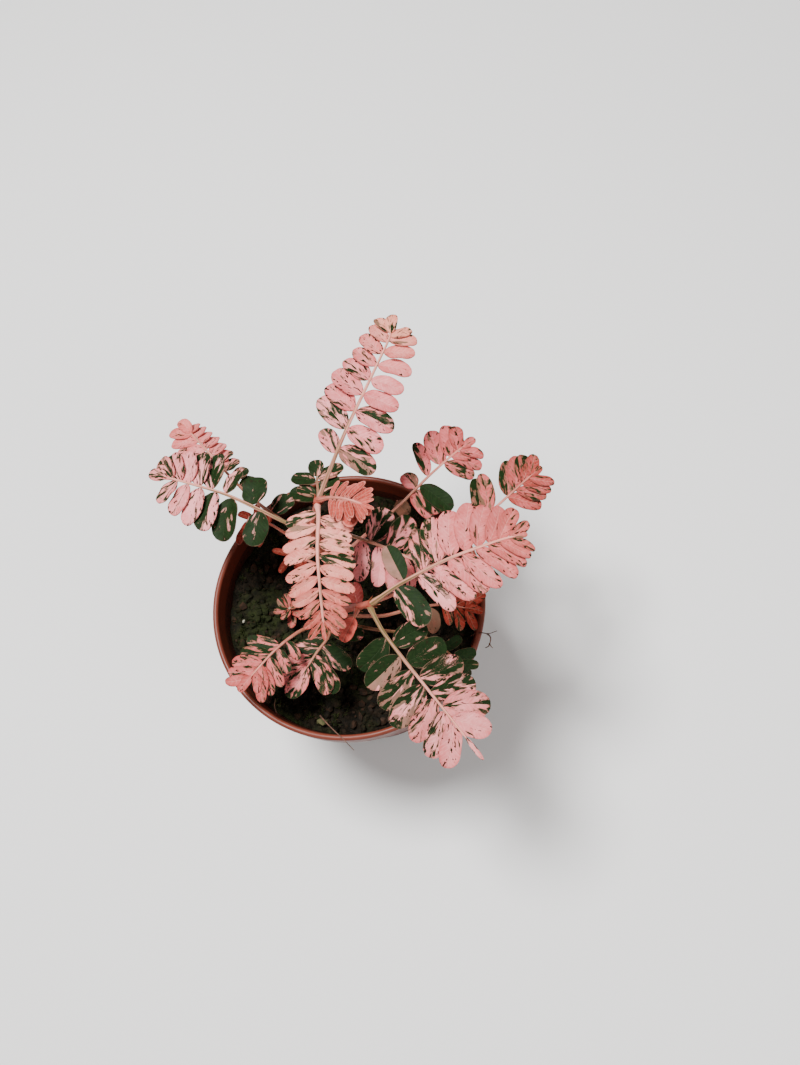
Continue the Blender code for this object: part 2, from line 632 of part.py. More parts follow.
def make_seedling():
    x, y = SEEDLING_PLACE
    low = SOIL_TOP - HOLE_DEPTH + GAP
    route = [Vector((x, y, low)), Vector((x, y, SOIL_TOP)), Vector((x, y, SEEDLING_TOP))]
    seedling = tube("seedling", route, (SEEDLING_RADIUS, SEEDLING_RADIUS), "variegated_leaf",
                    RACHIS_SIDES_RESOLUTION)
    blades = bpy.data.collections.new("seedling_blades")
    for index in range(SEEDLING_LEAVES):
        share = index / (SEEDLING_LEAVES - 1)
        height = SEEDLING_FIRST_LEAF + (SEEDLING_LAST_LEAF - SEEDLING_FIRST_LEAF) * share
        turn = math.radians(SEEDLING_LEAF_TURN * index)
        rise = math.radians(SEEDLING_LEAF_RISE[0] + (SEEDLING_LEAF_RISE[1] - SEEDLING_LEAF_RISE[0]) * share)
        length = SEEDLING_LEAF_LENGTHS[0] + (SEEDLING_LEAF_LENGTHS[1] - SEEDLING_LEAF_LENGTHS[0]) * share
        out = Vector((math.cos(turn) * math.cos(rise), math.sin(turn) * math.cos(rise), math.sin(rise)))
        across = Vector((0, 0, 1)).cross(out).normalized()
        frame = Matrix((out, across, out.cross(across))).transposed().to_4x4()
        place = Matrix.Translation((x, y, height)) @ frame
        blade = leaf("seedling_blade", place, length, length * SEEDLING_PLUMPNESS, "variegated_leaf",
                     LEAF_DROOP)
        move_to_collection(blade, blades)
    join_collection(seedling, blades, solver=JOIN_SOLVER)
    keep_main_body(seedling.data)


def main():
    clear_scene()
    make_pot()
    make_soil()
    for name in STEMS:
        make_stem(name)
    for name in FRONDS:
        make_frond(name)
    make_seedling()


main()
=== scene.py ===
"""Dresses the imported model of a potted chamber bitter: its pot, soil, stems, fronds and young shoots.

Lengths in the tables are millimetres, as in the part's own source, and MM turns them into metres.
"""

import math
import random
from collections import namedtuple
from itertools import accumulate

import bmesh
import bpy
from bmesh.types import BMFace, BMVert
from bpy.props import FloatProperty, FloatVectorProperty, IntProperty, PointerProperty
from bpy.types import Operator, Panel, PropertyGroup
from mathutils import Matrix, Vector, noise


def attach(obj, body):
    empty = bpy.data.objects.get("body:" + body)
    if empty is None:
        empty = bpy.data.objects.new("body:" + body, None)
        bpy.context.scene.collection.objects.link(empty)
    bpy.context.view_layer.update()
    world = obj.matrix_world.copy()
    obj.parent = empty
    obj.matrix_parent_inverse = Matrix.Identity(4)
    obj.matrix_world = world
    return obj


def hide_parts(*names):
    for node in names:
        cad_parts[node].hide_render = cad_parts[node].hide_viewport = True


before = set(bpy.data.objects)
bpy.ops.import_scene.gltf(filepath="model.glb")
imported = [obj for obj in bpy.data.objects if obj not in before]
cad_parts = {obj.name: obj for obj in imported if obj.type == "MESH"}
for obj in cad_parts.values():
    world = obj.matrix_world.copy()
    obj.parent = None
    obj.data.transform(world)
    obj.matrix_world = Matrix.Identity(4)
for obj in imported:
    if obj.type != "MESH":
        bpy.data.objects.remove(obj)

bl_info = {
    "name": "Potted chamber bitter",
    "version": (1, 0, 0),
    "blender": (4, 5, 0),
    "location": "View3D > Sidebar > Chamber Bitter",
    "description": "Variegated leaflets, stems, soil and a small plastic pot around the packed model",
    "category": "Add Mesh",
}

MM = 0.001
UP = Vector((0.0, 0.0, 1.0))
BACKWARD = Vector((0.0, 1.0, 0.0))
# Gap between neighbouring solids
GAP = 0.3

# Pot
POT_HEIGHT = 75.0
POT_RIM_RADIUS = 42.5
POT_BASE_RADIUS = 30.0
POT_WALL = 1.6
POT_FLOOR = 2.0
COLLAR_HEIGHT = 11.0
COLLAR_STEP = 0.9
COLLAR_FLARE = 0.9
LIP_WIDTH = 1.8
LIP_STEPS = 12
FOOT_ROUNDING = 0.8
FOOT_RING = 5.0
FOOT_RECESS = 0.8
FLOOR_ROUNDING = 1.0
DRAIN_HOLE_RADIUS = 3.0
DRAIN_HOLE_RING = 19.0
DRAIN_HOLES = 6
DRAIN_HOLE_SIDES = 32
MERGE_DISTANCE = 0.001

# Soil: its top, its lumps and its crumbs, and where moss grows
SOIL_TOP = 66.5
SOIL_LUMPS = 1.3
SOIL_LUMP_SCALE = 0.13
SOIL_EDGE_FALL = 1.2
SOIL_CRUMBLE = 1.0
SOIL_CRUMBLE_SCALE = 0.42
SOIL_SEED = 11
CRUMB_SIZES = (0.4, 0.55, 0.8, 1.2)
CRUMB_TURN = 0.6
CRUMB_ROUGHNESS = 0.18
CRUMB_RISE = 0.45
GRAIN_RISE = 0.7
BARK_SHARE = 0.3
MOSS_PATCH_SCALE = 0.09
MOSS_LEAN = (-0.006, 0.002)
MOSS_LIMITS = (-0.3, 0.2)

# Leaves of a tuft of moss: how many, and the ranges of their turn from upright, height and radius
MOSS_LEAVES = (7, 12)
MOSS_LEAF_TURNS = (0.15, 1.25)
MOSS_LEAF_HEIGHTS = (0.9, 2.0)
MOSS_LEAF_RADII = (0.14, 0.24)
MOSS_LEAF_TIP = 0.03

# Order of the finishes on the soil, and its pale grains: place, size and finish
EARTH, BARK, GRAIN, HUSK = range(4)
PALE_GRAINS = ((-34.5, -3.0, 0.62, GRAIN), (-8.4, -35.6, 1.9, HUSK), (18.0, 30.0, 0.5, GRAIN),
               (-24.0, -16.0, 0.4, GRAIN), (-22.0, -30.0, 0.5, HUSK), (12.0, -30.0, 0.45, GRAIN),
               (-30.0, -18.0, 0.45, HUSK), (25.0, -26.0, 0.5, HUSK))

# Order of the finishes on a leaf or a stem
UPPER, UNDER, STALK = range(3)

# Stems: their foot in the soil's holes and the swelling at a node
HOLE_DEPTH = 9.0
STEM_FOOT = SOIL_TOP - HOLE_DEPTH + GAP
STEM_STEP = 1.2
STEM_SEED = 60
STEM_SIDES = 16
STEM_LOOKS = ((0.0, 0.70, 0.0, 0.0), (0.25, 0.95, 0.0, 0.0))
STEM_RIDGES = (5, 0.05)
STEM_SLIMNESS = 0.96
NODE_SWELLING = 0.16
NODE_REACH = 0.9

# Scales at the nodes: their lengths below and above a height, how far they are turned from the frond that
# leaves there, and their lean up and out
TOP_NODES = 105.0
LOW_SCALE = 1.8
TOP_SCALE = 2.6
SCALE_TURN = 0.9
SCALE_STRAY = 0.2
SCALE_LEAN = (0.86, 0.5)

# Rachises: radii at foot and tip, the swelling near the foot, the share of the radius left at the very end,
# and the steps of the solids' routes and of the finer ones here
SOLID_RACHIS_RADIUS = 0.75
RACHIS_RADII = (0.66, 0.30)
RACHIS_SWELLING = 0.34
SWELLING_PLACE = 1.2
SWELLING_REACH = 1.3
RACHIS_END = 0.35
RACHIS_SIDES = 10
RACHIS_RIDGES = (4, 0.05)
RACHIS_STEP = 1.6
ROUTE_STEP = 6.5
STALK_ROUND = 1.6
FROND_SEED = 100

# Rows of leaves: how far each leaf strays from its row's rule
LEAF_JITTER_SEED = 5
LENGTH_JITTER = 0.05
ANGLE_JITTER = 3.0
LIFT_JITTER = 2.5
LOUVRE_JITTER = 2.0
GREEN_JITTER = 0.09
ROSE_JITTER = 0.06
CROWDING = 0.25
END_LEAF_ROOT = 1.0

# Blade of a leaflet: the ranges of its squareness, egg shape, fold, cup, wave and sideways sweep
BLADE_SQUARENESS = (2.15, 2.65)
BLADE_EGG = (-0.02, 0.12)
BLADE_FOLD = (0.08, 0.20)
YOUNG_FOLD = 0.18
BLADE_CUP = (-0.10, 0.16)
BLADE_WAVE = (0.02, 0.05)
BLADE_WAVES = 1.6
BLADE_SWEEP = (-0.03, 0.05)
BLADE_DROOP = 0.08
BLADE_FULLNESS = 1.02
ROOT_NARROWING = 0.22
ROOT_SHARE = 0.28
PETIOLE = 0.45
PETIOLE_SHARE = 0.06
# Petiole and rib beneath a blade: shares of its length, with the radius there on a leaf of full length
RIB = ((-0.06, 0.26), (0.03, 0.22), (0.30, 0.15), (0.62, 0.10), (0.93, 0.04))
RIB_LENGTH = 12.0
RIB_SIDES = 5
# How a leaf's left half differs in green and grey, and the leaf's warmth, where nothing else is said
PLAIN_SPLIT = (0.0, 0.0, 0.2)

# Widths of left and right leaves against those of the solid
WIDTH_SHARES = {"frond_back": (1.0, 1.08), "frond_front": (0.86, 0.84), "frond_right": (0.92, 0.90),
                "shoot_top": (0.80, 0.80)}

Stem = namedtuple("Stem", "route radii")

# Row of leaves: its first and last place on the rachis, how many, their lengths and angles at base, middle
# and tip, their widths at base and tip as shares of their lengths, and their lift
Row = namedtuple("Row", "first last count lengths angles widths lift", defaults=(0.0,))

# Frond: the stem and height it grows from, its rachis's route after that, its rows, the length and width
# share of its end leaf, the tilt of its leaves about their own length, and lone leaves with their lift: side
# (1 left, -1 right), place along the rachis, length, angle and width share
Frond = namedtuple("Frond", "stem height route left right end_leaf louvre lone lone_lift",
                   defaults=(None, None, None, 0.0, (), 0.0))

# Look of a frond: how green its left and right leaves are at base, middle and tip, how rosy, how grey and
# how warm its leaves are, and how pale and how red its rachis is at base and tip
Look = namedtuple("Look", "left right rose grey warm pale red")


def even(value):
    """The same value at base, middle and tip."""
    return (value,) * 3


STEMS = {
    "main_stem_left": Stem(((-3.2, 4.9, 66.5), (-4.0, 8.0, 78.0), (-6.0, 13.0, 92.0), (-6.5, 15.2, 100.0),
                            (-3.3, 18.8, 112.4)), (1.7, 1.0)),
    "main_stem_right": Stem(((-3.5, -5.7, 66.5), (-3.5, -6.5, 76.0), (-1.5, -7.6, 88.0), (4.0, -9.2, 99.0),
                             (11.6, -10.8, 108.4)), (1.6, 1.0)),
}

FRONDS = {
    "frond_back": Frond(
        "main_stem_left", 111.2,
        ((0.6, 27.7, 114.5), (5.4, 38.7, 117.0), (11.2, 51.5, 118.0), (17.3, 66.5, 117.5),
         (17.6, 69.0, 117.1)),
        left=Row(20, 53, 8, (12.6, 10.2, 7.4), (56, 66, 44), (0.54, 0.58)),
        right=Row(14.5, 54, 9, (12.8, 10.8, 7.2), (100, 88, 56), (0.50, 0.55)),
        end_leaf=(8.0, 0.46), louvre=16, lone=((1, 12.5, 8.6, 50, 0.62),)),
    "frond_front": Frond(
        "main_stem_left", 111.2,
        ((-2.7, 13.5, 113.6), (-2.4, 2.3, 115.2), (-1.7, -7.3, 113.6), (-1.2, -16.6, 109.6)),
        left=Row(5, 34, 10, (10.0, 10.2, 6.4), (68, 66, 38), (0.46, 0.38)),
        right=Row(3, 34, 10, (9.4, 9.8, 6.4), (78, 67, 40), (0.46, 0.38)),
        end_leaf=(5.5, 0.38), louvre=16),
    "shoot_top": Frond(
        "main_stem_left", 112.4,
        ((1.3, 18.2, 115.2), (6.0, 16.2, 118.4), (10.6, 14.0, 119.8)),
        left=Row(3.5, 14, 8, (5.6, 7.2, 5.0), (76, 52, 32), (0.30, 0.30)),
        right=Row(3.5, 14, 8, (6.6, 8.2, 5.4), (72, 46, 26), (0.30, 0.30)),
        end_leaf=(4.6, 0.30), louvre=22, lone_lift=-24.0,
        lone=((1, 4.6, 10.0, 34, 0.60), (-1, 8.0, 10.0, 44, 0.60), (-1, 11.0, 8.0, 16, 0.56))),
    "frond_left": Frond(
        "main_stem_left", 100.0,
        ((-12.6, 15.4, 102.5), (-20.8, 19.0, 105.0), (-31.3, 24.1, 106.0), (-41.4, 28.1, 104.8),
         (-51.2, 31.8, 103.3)),
        left=Row(24, 42.5, 5, (13.8, 12.2, 9.4), (102, 92, 66), (0.58, 0.60)),
        right=Row(30.5, 44, 5, (12.4, 11.6, 9.0), (72, 52, 34), (0.62, 0.60)),
        end_leaf=(7.0, 0.56), louvre=15,
        lone=((1, 14.4, 10.8, 104, 0.68), (-1, 17.4, 9.2, 70, 0.82), (-1, 26.2, 8.4, 96, 0.56))),
    "frond_far_left": Frond(
        "main_stem_left", 94.0,
        ((-16.0, 19.0, 95.0), (-26.6, 27.2, 95.8), (-35.0, 36.1, 95.5), (-40.2, 42.2, 95.0),
         (-48.2, 51.6, 92.5)),
        left=Row(40.5, 54, 4, (9.8, 10.2, 8.4), (52, 46, 36), (0.52, 0.50)),
        right=Row(27, 55, 9, (6.2, 7.0, 6.4), (66, 60, 40), (0.72, 0.62), lift=-20.0),
        end_leaf=(8.0, 0.50), louvre=5, lone=((-1, 14.4, 7.8, 98, 0.76),)),
    "frond_right": Frond(
        "main_stem_right", 108.4,
        ((18.7, -6.9, 111.0), (30.2, -1.8, 114.0), (40.2, 1.8, 115.0), (48.5, 4.8, 114.0),
         (51.5, 5.6, 113.4)),
        left=Row(16, 41, 8, (12.2, 13.6, 8.0), (74, 63, 26), (0.50, 0.46)),
        right=Row(14.5, 41, 8, (14.2, 13.6, 8.0), (68, 57, 38), (0.44, 0.42)),
        end_leaf=(4.5, 0.46), louvre=17,
        lone=((1, 10.0, 12.0, 90, 0.52), (-1, 7.6, 13.6, 78, 0.60))),
    "frond_front_right": Frond(
        "main_stem_right", 107.4,
        ((15.0, -18.8, 108.6), (19.9, -25.5, 107.4), (28.1, -35.8, 104.8), (36.8, -46.8, 101.3)),
        left=Row(11.5, 36.5, 6, (10.6, 13.0, 12.0), (80, 64, 36), (0.58, 0.58)),
        right=Row(9.5, 37.5, 7, (11.6, 13.2, 12.0), (80, 72, 42), (0.58, 0.48)),
        end_leaf=(8.0, 0.16), louvre=15),
    "frond_front_left": Frond(
        "main_stem_right", 78.0,
        ((-11.6, -12.0, 87.0), (-18.7, -18.3, 89.4), (-26.0, -26.4, 89.0)),
        left=Row(16, 34, 7, (7.0, 9.8, 6.8), (78, 60, 42), (0.40, 0.42)),
        right=Row(18.5, 33, 6, (9.8, 9.2, 6.8), (52, 48, 34), (0.42, 0.40)),
        end_leaf=(6.0, 0.46), louvre=16),
    "frond_front_low": Frond(
        "main_stem_right", 81.0,
        ((-4.4, -13.6, 83.5), (-7.3, -17.8, 84.0), (-10.6, -22.6, 83.2)),
        left=Row(2.5, 17, 4, (10.4, 11.6, 12.6), (96, 82, 50), (0.52, 0.50)),
        right=Row(4, 16, 4, (7.6, 8.8, 9.6), (60, 52, 34), (0.50, 0.48)),
        end_leaf=(11.0, 0.52), louvre=15),
    "frond_back_right": Frond(
        "main_stem_left", 82.0,
        ((3.7, 14.8, 86.0), (17.7, 24.6, 91.5), (26.0, 32.2, 93.5), (33.3, 38.9, 93.6), (37.5, 42.6, 93.0)),
        left=Row(43.5, 53.5, 4, (13.0, 10.4, 6.4), (56, 50, 46), (0.52, 0.52)),
        right=Row(45, 53.5, 4, (10.4, 9.0, 5.8), (68, 58, 46), (0.50, 0.52)),
        end_leaf=(5.5, 0.50), louvre=15,
        lone=((1, 33.5, 6.4, 84, 0.80), (1, 38.5, 12.4, 64, 0.34), (-1, 31.2, 9.8, 92, 0.46),
              (-1, 33.2, 10.2, 92, 0.50), (-1, 35.0, 12.4, 84, 0.48))),
    "frond_far_right": Frond(
        "main_stem_right", 89.5,
        ((18.0, -2.4, 92.5), (34.3, 10.2, 95.0), (46.1, 20.8, 96.0), (54.0, 28.2, 95.5),
         (57.6, 31.6, 95.0)),
        left=Row(59.6, 71, 5, (11.4, 9.6, 6.4), (44, 38, 24), (0.50, 0.50)),
        right=Row(59.5, 70.5, 5, (10.0, 8.8, 6.2), (58, 54, 40), (0.52, 0.50)),
        end_leaf=(5.0, 0.46), louvre=16,
        lone=((1, 4.6, 7.8, 92, 0.62), (1, 49.0, 13.8, 51, 0.36), (1, 51.8, 13.4, 53, 0.38))),
    "frond_middle": Frond(
        "main_stem_left", 100.0,
        ((0.7, 13.2, 101.6), (10.0, 9.3, 103.0), (14.7, 7.5, 102.4), (21.5, 4.9, 100.3), (25.5, 3.5, 98.6)),
        left=Row(17, 31, 4, (11.6, 12.0, 9.0), (86, 68, 50), (0.62, 0.56)),
        right=Row(14.4, 31, 5, (12.8, 12.0, 9.0), (68, 68, 52), (0.40, 0.42)),
        end_leaf=(6.0, 0.46), louvre=14),
    "shoot_left": Frond(
        "main_stem_left", 87.0,
        ((-13.0, 15.4, 87.6), (-22.5, 21.4, 88.4), (-28.5, 24.0, 87.4)),
        left=Row(19, 27, 3, (8.0, 9.0, 7.0), (96, 80, 60), (0.40, 0.40)),
        right=Row(18, 26, 3, (5.0, 6.0, 5.0), (70, 60, 45), (0.40, 0.40)),
        end_leaf=(6.0, 0.40), louvre=16),
    "frond_back_low": Frond(
        "main_stem_left", 89.5,
        ((-7.4, 18.5, 90.0), (-7.0, 27.0, 91.0), (-7.8, 36.0, 91.2)),
        left=Row(14, 24, 3, (9.8, 8.4, 7.4), (66, 72, 60), (0.56, 0.56)),
        right=Row(15, 24.5, 3, (9.4, 9.4, 8.6), (76, 66, 50), (0.50, 0.56)),
        end_leaf=(6.0, 0.80), louvre=14),
    "shoot_left_low": Frond(
        "main_stem_left", 78.0,
        ((-11.2, 11.6, 80.5), (-18.4, 13.8, 81.6)),
        left=Row(8, 14, 3, (6.0, 6.6, 5.0), (84, 66, 46), (0.36, 0.36)),
        right=Row(8, 14, 3, (5.0, 6.0, 5.0), (84, 66, 46), (0.36, 0.36)),
        end_leaf=(5.5, 0.36), louvre=18),
    "shoot_right_low": Frond(
        "main_stem_right", 85.5,
        ((12.5, -8.4, 87.6), (22.0, -6.8, 89.6), (31.0, -6.2, 90.2), (37.0, -7.4, 89.6)),
        left=Row(30, 40, 4, (7.5, 8.0, 6.0), (74, 56, 36), (0.42, 0.40)),
        right=Row(31, 40, 4, (6.6, 7.4, 6.0), (78, 60, 38), (0.42, 0.40)),
        end_leaf=(6.0, 0.40), louvre=18, lone=((-1, 26.5, 8.2, 82, 0.56),)),
    "shoot_right_side": Frond(
        "main_stem_right", 74.0,
        ((10.0, -10.6, 80.4), (24.0, -13.8, 83.4), (31.0, -18.6, 83.6), (34.5, -22.4, 83.2)),
        left=Row(35, 41, 3, (6.6, 7.4, 6.0), (66, 56, 42), (0.50, 0.48)),
        right=Row(29, 40, 4, (8.0, 8.0, 6.0), (80, 66, 46), (0.50, 0.48)),
        end_leaf=(5.5, 0.48), louvre=15),
    "shoot_middle": Frond(
        "main_stem_right", 103.5,
        ((6.6, -12.8, 103.9), (6.1, -13.8, 103.8)),
        end_leaf=(7.8, 0.56)),
}
# Young shoots, and the one whose leaves have a cream edge, with the ranges of their turn and length
EDGED_SHOOT = "shoot_top"
EDGED_TURN = 9.0
EDGED_LENGTHS = (0.86, 1.04)
YOUNG_SHOOTS = ("shoot_top", "shoot_left", "shoot_left_low", "shoot_right_low", "shoot_middle")

LOOKS = {
    "frond_back": Look((0.34, 0.24, 0.24), (0.34, 0.02, 0.24), (0.38, 0.38, 0.20), (0.16, 0.04, 0.40),
        (0.00, 0.05, 0.90), (0.35, 1.0), (0.35, 0.1)),
    "frond_front": Look((0.20, 0.22, 0.18), (0.22, 0.18, 0.18), (0.26, 0.34, 0.85), (0.26, 0.18, 0.16),
        (0.60, 0.65, 0.50), (0.75, 1.0), (0.1, 0.15)),
    "shoot_top": Look((0.10, 0.06, 0.02), (0.10, 0.06, 0.02), (0.80, 0.84, 0.72), even(0.0), even(0.30),
        (0.5, 1.0), (0.9, 0.2)),
    "frond_left": Look((0.70, 0.28, 0.40), (0.52, 0.30, 0.36), (0.14, 0.18, 0.28), (0.25, 0.15, 0.25),
        (0.00, 0.00, 0.10), (0.1, 0.9), (0.15, 0.05)),
    "frond_far_left": Look((0.22, 0.12, 0.08), (0.75, 0.25, 0.08), (0.42, 0.42, 0.48), (0.15, 0.1, 0.0),
        (0.10, 0.15, 0.30), (0.3, 0.8), (0.5, 0.2)),
    "frond_right": Look((0.36, 0.08, 0.26), (0.34, 0.18, 0.28), (0.38, 0.46, 0.66), (0.30, 0.08, 0.24),
        (0.10, 0.15, 0.35), (0.20, 1.15), (0.15, 0.10)),
    "frond_front_right": Look((0.90, 0.54, 0.16), (0.88, 0.60, 0.18), (0.24, 0.28, 0.28),
        (0.40, 0.42, 0.12), even(0.10), (0.15, 0.9), (0.1, 0.1)),
    "frond_front_left": Look((0.50, 0.36, 0.22), (0.42, 0.34, 0.22), (0.66, 0.70, 0.78), (0.10, 0.05, 0.0),
        (0.10, 0.10, 0.15), (0.35, 0.7), (0.8, 0.4)),
    "frond_front_low": Look((0.74, 0.58, 0.46), (0.66, 0.46, 0.42), (0.34, 0.36, 0.40), (0.45, 0.40, 0.20),
        even(0.10), (0.2, 0.6), (0.5, 0.2)),
    "frond_back_right": Look((0.24, 0.20, 0.26), (0.26, 0.24, 0.26), (0.66, 0.70, 0.72), even(0.15),
        (0.00, 0.00, 0.10), (0.5, 0.8), (0.55, 0.45)),
    "frond_far_right": Look((0.44, 0.34, 0.22), (0.30, 0.24, 0.20), (0.86, 0.90, 1.00), (0.20, 0.22, 0.15),
        (0.15, 0.15, 0.20), (0.5, 0.9), (0.60, 0.50)),
    "frond_middle": Look((0.46, 0.48, 0.42), (0.16, 0.10, 0.30), (0.20, 0.34, 0.42), (0.25, 0.20, 0.10),
        (0.00, 0.00, 0.10), (0.3, 0.8), (0.15, 0.1)),
    "shoot_left": Look(even(0.0), even(0.0), even(0.92), even(0.0), even(0.40), (0.4, 0.4), (0.8, 0.8)),
    "frond_back_low": Look((0.82, 0.76, 0.70), (0.82, 0.70, 0.66), even(0.20), (0.35, 0.45, 0.6),
        even(0.40), (0.2, 0.4), (0.4, 0.3)),
    "shoot_left_low": Look(even(0.0), even(0.0), even(0.92), even(0.0), even(0.50), (0.5, 0.7), (0.7, 0.5)),
    "shoot_right_low": Look((0.30, 0.26, 0.20), (0.30, 0.26, 0.20), even(0.98), even(0.0), even(0.50),
        (0.3, 0.6), (0.5, 0.6)),
    "shoot_right_side": Look((0.9, 0.85, 0.8), (0.9, 0.85, 0.8), even(0.60), even(0.3), even(0.40),
        (0.1, 0.3), (0.4, 0.4)),
    "shoot_middle": Look(even(0.0), even(0.0), even(0.62), even(0.0), even(0.20), (0.4, 0.4), (0.8, 0.8)),
}

# Leaves that differ from their frond, by their order in it: how green, how rosy and how grey, and on some
# how much greener and greyer the half to the left of the midrib is
ODD_LEAVES = {
    "frond_back": {0: (0.42, 0.24, 0.20, 0.10), 8: (0.38, 0.30, 0.45, 0.08, -0.30), 9: (0.34, 0.30, 0.10),
        10: (0.32, 0.30, 0.0, 0.08), 17: (0.40, 0.28, 0.35)},
    "frond_front": {2: (0.32, 0.28, 0.0), 3: (0.38, 0.28, 0.0), 10: (0.44, 0.22, 0.25, 0.05),
        11: (0.10, 0.22, 0.45), 12: (0.36, 0.24, 0.0, 0.08)},
    "shoot_top": {16: (0.22, 0.52, 0.0), 17: (0.04, 0.70, 0.0), 18: (0.06, 0.74, 0.0)},
    "frond_left": {0: (0.66, 0.10, 0.50), 1: (0.46, 0.10, 0.15, -0.26), 2: (0.20, 0.12, 0.0),
        10: (0.80, 0.0, 0.25), 11: (0.96, 0.0, 0.0), 12: (0.58, 0.12, 0.20, -0.20)},
    "frond_far_left": {13: (0.76, 0.0, 0.35)},
    "frond_right": {8: (0.32, 0.10, 0.20, 0.10), 16: (0.50, 0.10, 0.50, -0.46, 0.50),
        17: (0.66, 0.20, 0.50, 0.16)},
    "frond_front_right": {0: (0.80, 0.14, 0.40), 1: (0.76, 0.20, 0.35), 2: (0.50, 0.24, 0.60),
        3: (0.50, 0.24, 0.20, 0.10), 6: (0.78, 0.20, 0.10), 7: (0.58, 0.16, 0.50, -0.34, 0.45),
        8: (0.50, 0.24, 0.72), 9: (0.54, 0.26, 0.52, -0.06), 10: (0.42, 0.34, 0.12)},
    "frond_back_right": {8: (0.18, 0.45, 0.50, -0.14, -0.30), 9: (0.34, 0.52, 0.10, 0.10),
        10: (0.30, 0.78, 0.35), 11: (0.56, 0.75, 0.20), 12: (0.92, 0.30, 0.0)},
    "frond_far_right": {10: (0.0, 0.85, 0.25), 11: (0.56, 0.75, 0.45, 0.20), 12: (0.34, 0.80, 0.45)},
    "shoot_right_low": {8: (0.0, 0.10, 1.0)},
}

# Faded round leaf under the rachis of one frond
OLD_LEAF_FROND = "frond_back_right"
OLD_LEAF_ROOT = Vector((16.4, 28.4, 86.4))
OLD_LEAF_TIP = Vector((19.6, 24.0, 85.2))
OLD_LEAF_WIDTH = 4.6
OLD_LEAF_LOOK = (0.06, 0.20, 1.0)

# Seedling beside the stems, with the heights, lengths and rise of its first and last leaf
SEEDLING_PLACE = (-18.5, -1.0)
SEEDLING_TOP = 73.0
SEEDLING_RADII = (0.7, 0.42)
SEEDLING_STEPS = 10
SEEDLING_SIDES = 8
SEEDLING_LOOKS = ((0.2, 0.5, 0.0, 0.0), (0.4, 0.4, 0.0, 0.0))
SEEDLING_LEAVES = 9
SEEDLING_LEAF_HEIGHTS = (68.3, 72.4)
SEEDLING_LEAF_LENGTHS = (6.4, 4.8)
SEEDLING_LEAF_RISE = (12.0, 36.0)
SEEDLING_LEAF_TURN = 137.5
SEEDLING_PLUMPNESS = 0.45
SEEDLING_SEED = 23

# Fibres of root that stick out over the rim, as routes, and their radii at foot and tip
ROOT_FIBRES = (
    ((37.6, -10.4, 69.0), (39.2, -10.9, 73.6), (41.2, -11.2, 75.8), (43.2, -11.5, 75.9),
     (45.6, -10.6, 75.4)),
    ((42.6, -11.5, 75.9), (43.6, -12.6, 75.6), (43.4, -14.6, 74.8), (44.2, -15.6, 74.4)),
    ((43.3, -14.2, 74.9), (42.9, -15.0, 74.2), (41.9, -15.2, 73.4)),
    ((-8.6, -34.0, 69.0), (-6.0, -36.8, 73.4), (-3.2, -39.6, 75.8), (-0.6, -42.0, 75.9), (2.6, -45.2, 74.0)),
    ((-21.4, -33.0, 66.0), (-21.9, -33.0, 69.0), (-22.0, -31.4, 72.6), (-21.2, -29.8, 75.2)),
)
FIBRE_RADII = (0.26, 0.10)
FIBRE_STEP = 0.6
FIBRE_SIDES = 6
FIBRE_LOOKS = ((0.4, 0.2, 0.0, 0.0), (0.5, 0.2, 0.0, 0.0))
FIBRE_GUIDE = Vector((0.3, 0.2, 1.0)).normalized()

# Numbers that set the markings of one piece apart from those of another
STEM_MARKS = 40.0
OLD_LEAF_MARKS = 55.0
SCALE_MARKS = 70.0
SEEDLING_MARKS = 90.0
SEEDLING_LEAF_MARKS = 200.0
FIBRE_MARKS = 300.0

# Scales of the leaves' markings, along and across their fan
STREAK_SCALE = (0.23, 0.76)
FLECK_SCALE = (0.46, 1.05)
GREY_SCALE = (0.13, 0.55)

# Tones that go between the main colours, in linear light
VEIN_CREAM = (1.0, 0.72, 0.56)
WARM_TINT = (1.0, 1.06, 0.70)
GREEN_LIGHT = (0.015, 0.032, 0.008)
GREEN_VEIN = (0.075, 0.105, 0.040)
FLECK_BROWN = (0.020, 0.006, 0.004)
# Darker margin of a leaflet: partly its own tint, partly painted shade between leaflets
EDGE_TINT_AND_SHADE = (0.62, 0.42, 0.38)
EDGE_CREAM = (0.36, 0.20, 0.13)
UNDERSIDE = (0.42, 0.22, 0.17)
YOUNG_CORAL = (0.50, 0.085, 0.070)
YOUNG_RED = (0.24, 0.028, 0.021)
STALK_DARK = (0.055, 0.045, 0.016)
PLASTIC_DEEP = (0.085, 0.016, 0.009)
# Painted shade on the pot's inner wall
PLASTIC_INNER_SHADE = (0.022, 0.0050, 0.0030)
EARTH_LIGHT = (0.020, 0.014, 0.009)
BARK_DARK = (0.010, 0.007, 0.004)
GRAIN_TONES = ((0.30, 0.29, 0.22), (0.42, 0.40, 0.32))
HUSK_TONES = ((0.085, 0.078, 0.032), (0.035, 0.040, 0.014))
MOSS_LIGHT = (0.044, 0.054, 0.016)
FIBRE_TONES = ((0.085, 0.045, 0.032), (0.16, 0.08, 0.055))
FLOOR_CLOUD = (0.7, 0.69, 0.68)
SKY = (1.0, 0.99, 0.98, 1.0)

# Floor in metres: half its width, and how far it lies under the pot
FLOOR_REACH = 4.0
FLOOR_DROP = 0.0002

# Lights in metres: place and width
KEY_LIGHT = ((-0.20, 0.12, 0.90), 0.28)
FILL_LIGHT = ((0.45, -0.35, 0.45), 0.5)
LIGHTS_AIM = (0.0, 10.0, 80.0)

# Photograph's view: camera's place, what it looks at, and its lens
CAMERA_PLACE = (46.1, -90.6, 378.4)
CAMERA_TARGET = (16.3, 22.1, 75.0)
CAMERA_LENS = 34.97
SENSOR = 36.0


